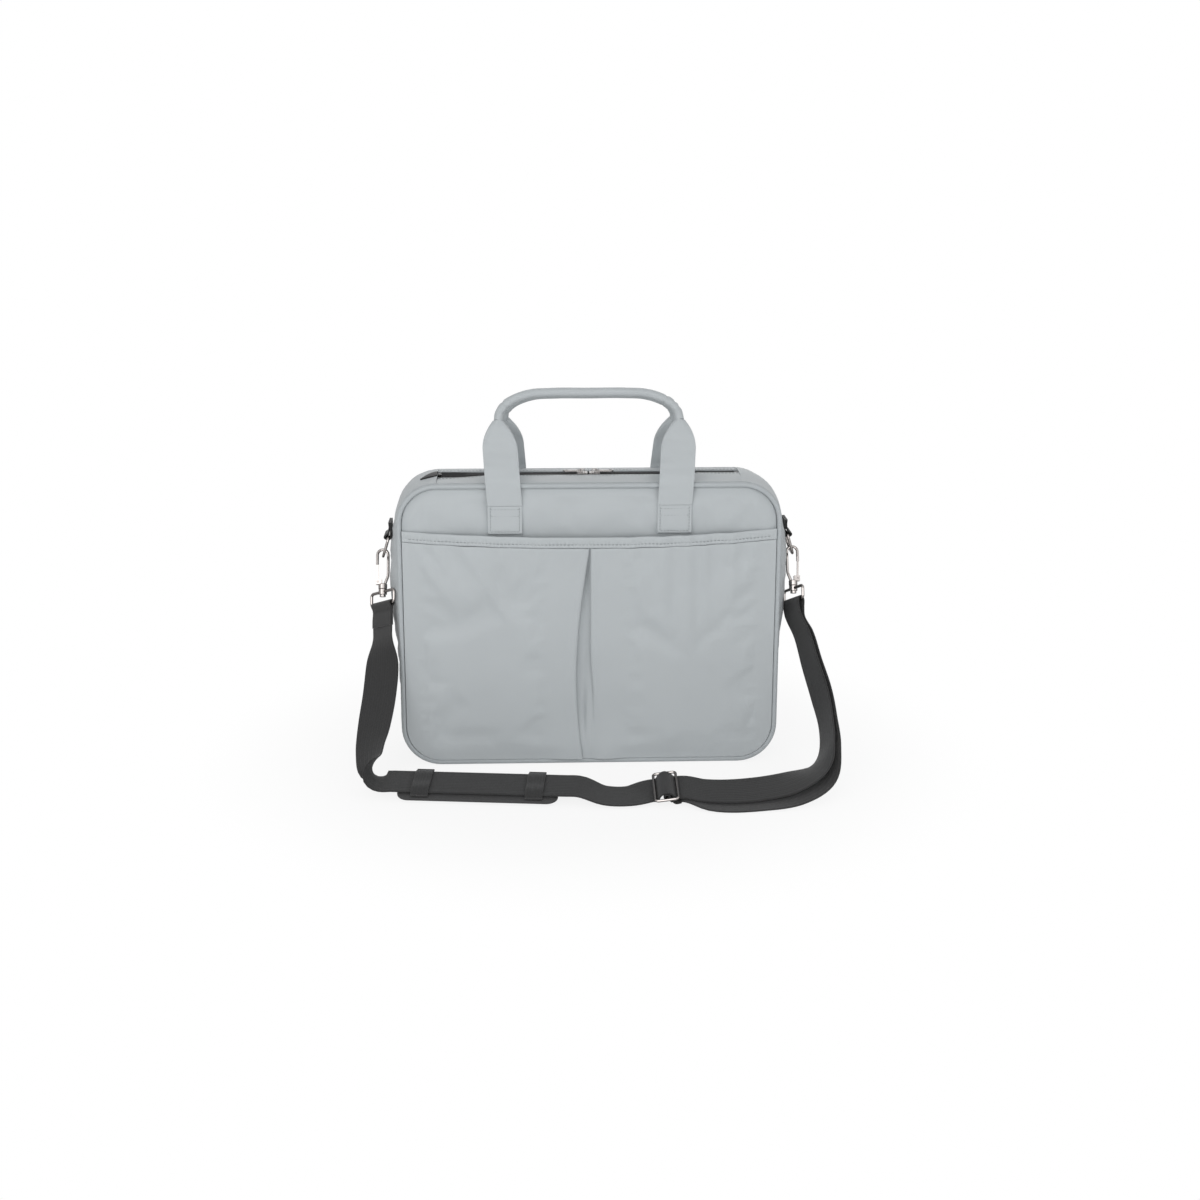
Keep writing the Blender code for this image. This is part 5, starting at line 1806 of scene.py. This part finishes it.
@dataclass
class SideHardware:
    """Tab, ring, snap hook and strap loop of one side."""

    body: CaseBody
    name: str
    side: int
    tab_w: float = 0.025
    web_t: float = 0.0016
    ring_z: float = 0.2425
    ring_wire: float = 0.0028
    tail: float = 0.0125
    slack: float = 0.8

    def tab(self) -> None:
        """Builds the webbing tab that holds the ring against the gusset."""
        bore = self.ring_wire / 2 + self.body.clear
        outer = bore + self.web_t
        at = self.body.half_w + self.body.swell(self.ring_z) + self.body.clear + outer
        ply = self.web_t + 0.0001
        turns = [math.radians(a) for a in spread(60, -180, 18)]
        mid = (bore + outer) / 2
        foot = -outer + ply / 2
        path = [(foot + ply, outer + self.tail), (foot + 1.1 * ply, outer + 0.003)]
        for t in turns:
            bulge = 1 + self.slack * (math.cos(t) > 0)
            path.append((mid * math.cos(t) * bulge, mid * math.sin(t)))
        path += [(foot, outer * 0.5), (foot, outer + 0.004), (foot, outer + self.tail)]
        points = through([Vector((at + a, 0, self.ring_z + b)) for a, b in path], 2)
        grid = band_along(points, Vector((0, 1, 0)), band_ring(self.tab_w, self.web_t * 0.96, 8))
        skin = Skin()
        skin.rings([[Vector((self.side * p.x, p.y, p.z)) for p in ring] for ring in grid])
        made = skin.object(f"{self.name}_tab_web", self.body.wardrobe.webbing)
        settle(made, "case", Slot.WEBBING, f"{self.name}_tab")

    def build(self) -> None:
        """Builds the tab and dresses the metal."""
        for part in ("ring", "hook", "gate", "gate_pin", "base_loop"):
            repaint(f"{self.name}_{part}", self.body.wardrobe.nickel)
        self.tab()


# Shoulder strap


@dataclass
class ShoulderStrap:
    """Webbing strap with its pad, keepers and adjuster."""

    wardrobe: Wardrobe
    width: float = 0.038
    web_t: float = 0.0016
    clear: float = 0.0003
    pad_l: float = 0.164
    pad_w: float = 0.050
    pad_t: float = 0.006
    pad_tilt: float = 13.0
    heading: float = -6.3
    pad_at: Flat = (-0.116, -0.136)
    keeper_w: float = 0.018
    keeper_t: float = 0.0012
    keeper_at: float = 0.058
    glide_at: Place = (0.073, -0.152, 0.0138)
    glide_tilt: float = 15.0
    glide_pitch: float = 8.0
    glide_l: float = 0.026
    glide_wire: float = 0.003
    glide_tail: float = 0.0045
    tail_drop: float = 50.0
    loop_wire: float = 0.0032
    end_tail: float = 0.020
    hook_at: Place = (0.2178, -0.015131, 0.18706)
    hook_lean: float = 24.0
    loop_drop: float = 0.0163
    left_turn: float = -54.3
    right_turn: float = -73.0
    # Places left and right of the adjuster, passed on with the webbing beside it
    give_left: tuple[Vector, Vector] = (Vector((-0.005, 0, 0)), Vector((0.055, 0, 0)))
    give_right: tuple[Vector, Vector] = (Vector((0.092, 0, 0)), Vector((0.200, 0, 0)))
    pad_corner: float = 0.012
    pad_seam: float = 0.0036
    pad_rim: float = 0.72
    # The strap's way as it lies in the photograph: places with the direction across the webbing
    left_route: Route = (
        ((-0.218, -0.046, 0.114), (0.91, -0.4, 0.08)),
        ((-0.221, -0.059, 0.084), (0.94, -0.34, 0.03)),
        ((-0.226, -0.076, 0.056), (0.92, -0.37, 0.12)),
        ((-0.2295, -0.095, 0.0355), (0.8, -0.5, 0.33)),
        ((-0.2275, -0.113, 0.021), (0.45, -0.88, 0.05)),
    )
    floor_route: Route = (
        ((0.012, -0.157, 0.0068), (0, -0.985, -0.17)),
        ((0.038, -0.157, 0.0062), (0, -0.985, -0.17)),
    )
    right_route: Route = (
        ((0.112, -0.1575, 0.0112), (0, -0.96, -0.26)),
        ((0.165, -0.1575, 0.0118), (0, -0.955, -0.29)),
        ((0.202, -0.15, 0.0165), (0.12, -0.95, -0.2)),
        ((0.231, -0.132, 0.025), (0.3, -0.9, 0.2)),
        ((0.243, -0.109, 0.038), (0.28, -0.72, 0.63)),
        ((0.2455, -0.086, 0.058), (0.23, -0.71, 0.66)),
        ((0.241, -0.067, 0.083), (0.31, -0.74, 0.6)),
        ((0.233, -0.05, 0.111), (0.3, -0.8, 0.53)),
        ((0.2255, -0.0365, 0.139), (0.28, -0.85, 0.45)),
    )
    back_route: Route = (
        ((0.229, -0.0345, 0.139), (0.28, -0.85, 0.45)),
        ((0.2368, -0.048, 0.111), (0.3, -0.8, 0.53)),
        ((0.245, -0.065, 0.083), (0.31, -0.74, 0.6)),
        ((0.25, -0.085, 0.057), (0.23, -0.71, 0.66)),
        ((0.249, -0.112, 0.034), (0.26, -0.78, 0.55)),
        ((0.236, -0.1415, 0.0155), (0.22, -0.93, 0.1)),
        ((0.206, -0.1635, 0.0065), (0.1, -0.97, -0.08)),
        ((0.165, -0.172, 0.0022), (0, -1, -0.03)),
        ((0.12, -0.1715, 0.0022), (0, -1, -0.03)),
    )

    @property
    def bar_loop(self) -> float:
        """Middle of the adjuster's bar to the outside of the webbing round it."""
        return self.glide_wire / 2 + self.clear + self.web_t

    def loop(self, side: int) -> Matrix:
        """Frame of a strap loop's lower bar.

        Args:
            side: -1 for the left and 1 for the right.

        Returns:
            A matrix with X along the bar and Z up the leaning hook.
        """
        turn = self.left_turn if side < 0 else self.right_turn
        x, y, z = self.hook_at
        lean = Matrix.Rotation(-math.radians(self.hook_lean), 4, "X")
        swing = Matrix.Rotation(math.radians(turn), 4, "Z")
        seat = Matrix.Translation((side * x, y, z)) @ lean @ swing
        return seat @ Matrix.Translation((0, 0, -self.loop_drop))

    def run(self) -> Matrix:
        """Frame of the strap's straight stretch.

        Returns:
            A matrix with X along it and Z square to the pad's face.
        """
        turn = math.radians(self.heading)
        way = Vector((math.cos(turn), math.sin(turn), 0))
        tilt = math.radians(self.pad_tilt)
        up = Matrix.Rotation(tilt, 4, way) @ Vector((0, 0, 1))
        rise = self.pad_w / 2 * math.sin(tilt) + self.pad_t / 2 * math.cos(tilt)
        return frame_of(way, up, Vector((*self.pad_at, rise + 2 * self.clear)))

    def glide(self) -> Matrix:
        """Frame of the adjuster.

        Returns:
            A matrix with X along the strap and Z square to the adjuster.
        """
        pitch = Matrix.Rotation(-math.radians(self.glide_pitch), 4, "Y")
        tilt = Matrix.Rotation(math.radians(self.glide_tilt), 4, "X")
        return Matrix.Translation(self.glide_at) @ tilt @ pitch

    def ribbon(self, stations: list, per: int, ends: tuple[Vector, Vector]) -> tuple[Grid, Row]:
        """Lays flat webbing through stations.

        Args:
            stations: (centre, direction across) pairs.
            per: Steps in each span.
            ends: Directions at the first and the last station.

        Returns:
            Rings along the webbing, and its centre line.
        """
        route = [Vector(c) for c, _ in stations]
        centres = through(route, per)
        across = through(route, per, [Vector(w).normalized() for _, w in stations])
        ways = tangents(centres)
        ways[0], ways[-1] = (end.normalized() for end in ends)
        ring = band_ring(self.width, self.web_t, 12)
        grid = []
        for centre, way, wide in zip(centres, ways, across):
            wide = (wide - way * wide.dot(way)).normalized()
            out = way.cross(wide)
            grid.append([centre + wide * a + out * b for a, b in ring])
        return grid, centres

    def webbing(self, name: str, grid: Grid) -> Object:
        """Makes a length of webbing.

        Args:
            name: Name of the piece.
            grid: Its rings.

        Returns:
            The object.
        """
        skin = Skin()
        skin.rings(grid)
        return skin.object(name, self.wardrobe.webbing, sharp=60.0)

    def over_bar(self) -> list[tuple[Vector, Vector]]:
        """Leads the webbing up over the adjuster's sewn bar.

        Returns:
            Stations as (centre, direction across).
        """
        glide = self.glide()
        under = self.glide_wire / 2 + self.clear + self.web_t / 2 + 0.0004
        ride = self.bar_loop + self.clear + self.web_t / 2 + 0.0006
        bar_x = self.glide_l / 2 - self.glide_wire / 2
        rise = [(-bar_x - 0.003, -under), (-bar_x + 0.0012, -under), (-0.0047, 0.6 * ride), (0.0, ride)]
        rise += [(-a, b) for a, b in reversed(rise[:-1])]
        across = glide.to_3x3() @ Vector((0, -1, 0))
        return [(glide @ Vector((a, 0, b)), across) for a, b in rise]

    def webs(self) -> list[tuple[Object, Row]]:
        """Builds the strap from the left loop to the right one and back to the adjuster.

        The part of it over the bar rides on the adjuster.

        Returns:
            The webbing left of the adjuster, right of it and back to it, each with its centre line.
        """
        left, right = self.loop(-1), self.loop(1)
        run, glide = self.run(), self.glide()
        bar, begin = (left.to_3x3() @ Vector(way) for way in ((1, 0, 0), (0, 0, -1)))
        sewn = self.loop_wire / 2 + 2 * self.clear + self.web_t + self.end_tail
        start = left.translation + begin * sewn
        face = self.pad_t / 2 + 2 * self.clear + self.web_t / 2 + 0.0004
        level = run.to_3x3() @ Vector((0, -1, 0))
        before = [(start, bar), (start + begin * 0.012, bar), *self.left_route]
        before += [(run @ Vector((a, 0, face)), level) for a in (-0.1, -0.088, 0.0, 0.088, 0.1)]
        before += self.floor_route
        crossing = self.over_bar()
        bar, out, up = (right.to_3x3() @ Vector(way) for way in ((1, 0, 0), (0, 1, 0), (0, 0, 1)))
        centre = right.translation
        radius = self.loop_wire / 2 + self.clear + self.web_t / 2
        after = [*self.right_route, (centre - out * radius - up * 0.009, bar)]
        for a in (-90, -45, 0, 45, 90):
            t = math.radians(a)
            after.append((centre + radius * (out * math.sin(t) + up * math.cos(t)), bar))
        turn_end = centre + out * radius - up * 0.009
        after.append((turn_end, bar))
        per = 6
        grid, line = self.ribbon(before + crossing + after, per, (begin, -up))
        low = per * len(before)
        high = low + per * (len(crossing) - 1)
        left_web = self.webbing("strap_main_web", grid[: low + 1])
        settle_between(left_web, ("case", "adjuster"), self.give_left, Slot.WEBBING, "strap_main")
        settle(self.webbing("strap_crossing_web", grid[low : high + 1]), "adjuster", Slot.WEBBING)
        right_web = self.webbing("strap_right_web", grid[high:])
        settle_between(right_web, ("adjuster", "case"), self.give_right, Slot.WEBBING)
        tail = self.tail_way()
        end = tail * (self.bar_loop + self.glide_tail + self.clear)
        across = crossing[0][1]
        back = [(turn_end - up * self.clear, bar), (turn_end - up * 0.008, bar), *self.back_route]
        for place in (end + Vector((0.011, 0, -0.0026)), end + tail * 0.003, end):
            back.append((glide @ place, across))
        grid, way = self.ribbon(back, 8, (-up, glide.to_3x3() @ -tail))
        return_web = self.webbing("strap_return_web", grid)
        settle_between(return_web, ("adjuster", "case"), self.give_right, Slot.WEBBING, "strap_return")
        return [(left_web, line[: low + 1]), (right_web, line[high:]), (return_web, way)]

    def tail_way(self) -> Vector:
        """Direction of the webbing sewn to the adjuster, in the adjuster's frame."""
        drop = math.radians(self.tail_drop)
        return Vector((math.cos(drop), 0, -math.sin(drop)))

    def sewn_end(self, name: str, place: Matrix, wire: float, tail: float, body: str) -> None:
        """Builds webbing folded round a bar with its two layers sewn together.

        Args:
            name: Node that it replaces.
            place: Frame of the bar: X along it, Z away from the tail.
            wire: Diameter of the bar.
            tail: Length of the sewn layers past the fold.
            body: Body that it moves with.
        """
        bore = wire / 2 + self.clear
        mid, low = bore + self.web_t / 2, -bore - self.web_t - tail
        layer = self.web_t / 2 + 0.00005
        path = [(-layer, low), (-layer, 0.6 * low - 0.4 * mid), (-layer, -1.5 * mid)]
        turns = [math.radians(a) for a in spread(-115, 115, 12)]
        path += [(mid * math.sin(t), mid * math.cos(t)) for t in turns]
        path += [(layer, -1.5 * mid), (layer, 0.6 * low - 0.4 * mid), (layer, low)]
        points = through([Vector((0, a, b)) for a, b in path], 3)
        grid = band_along(points, Vector((1, 0, 0)), band_ring(self.width, 0.97 * self.web_t, 12))
        skin = Skin()
        skin.rings([[place @ p for p in ring] for ring in grid])
        settle(skin.object(name + "_web", self.wardrobe.webbing, sharp=60.0), body, Slot.WEBBING, name)
        skin = Skin()
        half = self.width / 2 - 0.0025
        for side in (-1, 1):
            out = place.to_3x3() @ Vector((0, side, 0))
            for level in (low + 0.0022, max(low + 0.006, -mid - 0.004)):
                y = side * (layer + self.web_t / 2 - 0.0001)
                ends = [place @ Vector((a, y, level)) for a in (-half, half)]
                skin.seam(ends, [out, out], pitch=0.0036, radius=0.0003)
        settle(skin.object(name + "_stitches", self.wardrobe.black_thread), body, Slot.WEBBING)

    def pad(self) -> None:
        """Builds the pad with a crowned face, a bound edge and its stitches."""
        run = self.run()
        half_l, half_w, corner = self.pad_l / 2, self.pad_w / 2, self.pad_corner
        outer, inner, line = [], [], []
        for a in spread(-1, 1, 70):
            x = half_l * math.sin(math.pi / 2 * a)
            drop = max(0.0, abs(x) - half_l + corner)
            half = half_w - corner + rounded(corner, drop)
            top, low = [], []
            for b in spread(-1, 1, 30):
                y = half * math.sin(math.pi / 2 * b)
                edge = min(half - abs(y), half_l - abs(x))
                rim = math.sqrt(max(0.0, 1 - (1 - min(1.0, edge / 0.0022)) ** 2))
                thick = self.pad_t / 2 * (self.pad_rim * rim + 0.26 * ease((edge - 0.003) / 0.007))
                top.append(run @ Vector((x, y, thick)))
                low.append(run @ Vector((x, y, -thick)))
            outer.append(top)
            inner.append(low)
        skin = Skin()
        skin.slab(outer, inner)
        made = skin.object("pad_cover", self.wardrobe.pad)
        settle(made, "pad_unit", Slot.PAD, "shoulder_pad")
        up = run.to_3x3() @ Vector((0, 0, 1))
        lift = self.pad_t / 2 * self.pad_rim
        corner, half_l, half_w = (size - self.pad_seam for size in (corner, half_l, half_w))
        for cx, cy, begin in ((1, -1, -90), (1, 1, 0), (-1, 1, 90), (-1, -1, 180), (1, -1, -90)):
            for a in spread(begin, begin + 90, 6):
                t = math.radians(a)
                x = cx * (half_l - corner) + corner * math.cos(t)
                y = cy * (half_w - corner) + corner * math.sin(t)
                line.append(run @ Vector((x, y, lift)))
        skin = Skin()
        skin.seam(line[:-6], [up] * len(line[:-6]), pitch=0.0046, radius=0.0003)
        settle(skin.object("pad_stitches", self.wardrobe.black_thread), "pad_unit", Slot.PAD)
        for name, at in (("pad_left_keeper", -self.keeper_at), ("pad_right_keeper", self.keeper_at)):
            self.keeper(name, at)

    def keeper(self, name: str, at: float) -> None:
        """Builds a keeper that holds the strap down on the pad.

        Args:
            name: Node that it replaces.
            at: Its place along the pad.
        """
        run, h = self.run(), self.keeper_t / 2
        low = self.pad_t / 2 + self.clear
        edge = -self.width / 2 - 0.0012
        roof = low + self.web_t + 0.0012
        arch = [(edge - 0.0042, low + h), (edge - 0.0014, low + h), (edge + 0.0006, roof - 0.0006)]
        arch += [(edge + 0.003, roof + h), (0, roof + h + 0.0002)]
        arch += [(-y, z) for y, z in reversed(arch[:-1])]
        points = through([Vector((at, y, z)) for y, z in arch], 6)
        grid = band_along(points, Vector((1, 0, 0)), band_ring(self.keeper_w, self.keeper_t, 6))
        skin = Skin()
        skin.rings([[run @ p for p in ring] for ring in grid])
        settle(skin.object(name + "_web", self.wardrobe.webbing), "pad_unit", Slot.WEBBING, name)

    def build(self) -> None:
        left_web, right_web, return_web = self.webs()
        self.pad()
        repaint("adjuster_frame", self.wardrobe.nickel)
        self.sewn_end("strap_left_end", self.loop(-1), self.loop_wire, self.end_tail, "case")
        tail = self.tail_way()
        hung = self.glide() @ frame_of(Vector((0, 1, 0)), -tail, Vector())
        self.sewn_end("adjuster_end_loop", hung, self.glide_wire, self.glide_tail, "adjuster")


# Studio


@dataclass
class Studio:
    """Pale floor, soft light and the camera."""

    azimuth: float = -2.0
    distance: float = 1.8
    eye: float = 0.650
    pitch: float = 0.261
    focal: float = 1738.0
    frame_px: float = 1200.0
    shift_px: float = 11.7
    aim: Place = (0, 0, 0.15)
    surround: float = 0.42
    floor_grey: float = 0.86
    # How white the floor is seen: from a distance, to a distance, and its share at each
    fade: tuple[float, float, float, float] = (0.20, 0.45, 0.86, 1.0)
    # Each lamp: name, place, size and power
    lamps: tuple[tuple[str, Place, float, float], ...] = (
        ("key_softbox", (-0.7, -1.7, 0.75), 1.9, 19.0),
        ("fill_softbox", (1.2, -1.5, 0.45), 1.9, 12.0),
        ("top_softbox", (0.0, 0.2, 2.0), 1.9, 2.0),
        ("back_softbox", (0.2, 1.7, 1.3), 1.9, 8.0),
    )

    def camera(self) -> None:
        """Puts the camera where the photograph was taken."""
        data = bpy.data.cameras.new("camera")
        data.lens = self.focal / self.frame_px * data.sensor_width
        data.shift_x = self.shift_px / self.frame_px
        made = bpy.data.objects.new("camera", data)
        turn = math.radians(self.azimuth)
        made.location = (math.sin(turn) * self.distance, -math.cos(turn) * self.distance, self.eye)
        made.rotation_euler = (math.pi / 2 - self.pitch, 0, turn)
        bpy.context.scene.collection.objects.link(made)
        bpy.context.scene.camera = made

    def light(self) -> None:
        """Sets soft lamps and an even white surround."""
        for name, place, size, power in self.lamps:
            data = bpy.data.lights.new(name, "AREA")
            data.size = size
            data.energy = power
            made = bpy.data.objects.new(name, data)
            made.location = place
            way = Vector(self.aim) - Vector(place)
            made.rotation_euler = way.to_track_quat("-Z", "Y").to_euler()
            bpy.context.scene.collection.objects.link(made)
        world = bpy.data.worlds.new("white_surround")
        world.use_nodes = True
        w = Wiring(world.node_tree)
        back = world.node_tree.nodes["Background"]
        back.inputs["Color"].default_value = (1, 1, 1, 1)
        w.set(back.inputs["Strength"], self.seen(w, self.surround))
        bpy.context.scene.world = world

    def seen(self, w: Wiring, level: float) -> NodeSocket:
        """Strength of 1 where a camera, mirror or glass ray looks, and less for the light it gives.

        Args:
            w: Wiring of the world.
            level: Strength of the light.

        Returns:
            The strength.
        """
        path = w.add("ShaderNodeLightPath")
        some = w.math("MAXIMUM", path.outputs["Is Camera Ray"], path.outputs["Is Glossy Ray"])
        some = w.math("MAXIMUM", some, path.outputs["Is Transmission Ray"])
        return w.math("MULTIPLY_ADD", some, 1.0 - level, level)

    def floor(self) -> None:
        """Lays a pale floor that keeps the case's shadow."""
        bm = bmesh.new()
        bmesh.ops.create_grid(bm, x_segments=2, y_segments=2, size=6.0)
        mesh = bpy.data.meshes.new("floor")
        bm.to_mesh(mesh)
        bm.free()
        made = bpy.data.objects.new("floor", mesh)
        made.location = (0, 0, -0.0002)
        finish, w, shader = surface("pale_floor")
        shader.inputs["Base Color"].default_value = (*[self.floor_grey] * 3, 1)
        shader.inputs["Roughness"].default_value = 0.9
        shader.inputs["Specular IOR Level"].default_value = 0.0
        glow = w.add("ShaderNodeEmission")
        mix = w.add("ShaderNodeMixShader")
        span = w.add("ShaderNodeVectorMath", operation="LENGTH")
        w.set(span.inputs[0], w.add("ShaderNodeTexCoord").outputs["Object"])
        fade = w.add("ShaderNodeMapRange", interpolation_type="SMOOTHSTEP")
        w.set(fade.inputs["Value"], span.outputs["Value"])
        for key, value in zip(("From Min", "From Max", "To Min", "To Max"), self.fade):
            fade.inputs[key].default_value = value
        looked = w.add("ShaderNodeLightPath").outputs["Is Camera Ray"]
        w.set(mix.inputs["Fac"], w.math("MULTIPLY", looked, fade.outputs["Result"]))
        w.set(mix.inputs[1], shader.outputs["BSDF"])
        w.set(mix.inputs[2], glow.outputs["Emission"])
        w.set(finish.node_tree.nodes["Material Output"].inputs["Surface"], mix.outputs["Shader"])
        mesh.materials.append(finish)
        bpy.context.scene.collection.objects.link(made)

    def build(self) -> None:
        """Sets up the whole studio."""
        bpy.context.scene.view_settings.view_transform = "Standard"
        self.camera()
        self.light()
        self.floor()


@dataclass
class Briefcase:
    """The whole case, sub-assembly by sub-assembly."""

    wardrobe: Wardrobe = field(default_factory=Wardrobe)

    def build(self) -> None:
        """Builds every sub-assembly in order."""
        body = CaseBody(self.wardrobe)
        ShoulderStrap(self.wardrobe).build()
        body.build()
        FrontPocket(body).build()
        ZipMouth(body).build()
        Handle(body, "front", -1).build()
        Handle(body, "back", 1, toe_in=(0.006, 0.0027)).build()
        for name, side in (("left", -1), ("right", 1)):
            SideHardware(body, name, side).build()


def main() -> None:
    """Builds the studio and the case."""
    logging.basicConfig(level=logging.INFO, format="%(message)s")
    Studio().build()
    Briefcase().build()


if __name__ == "__main__":
    main()
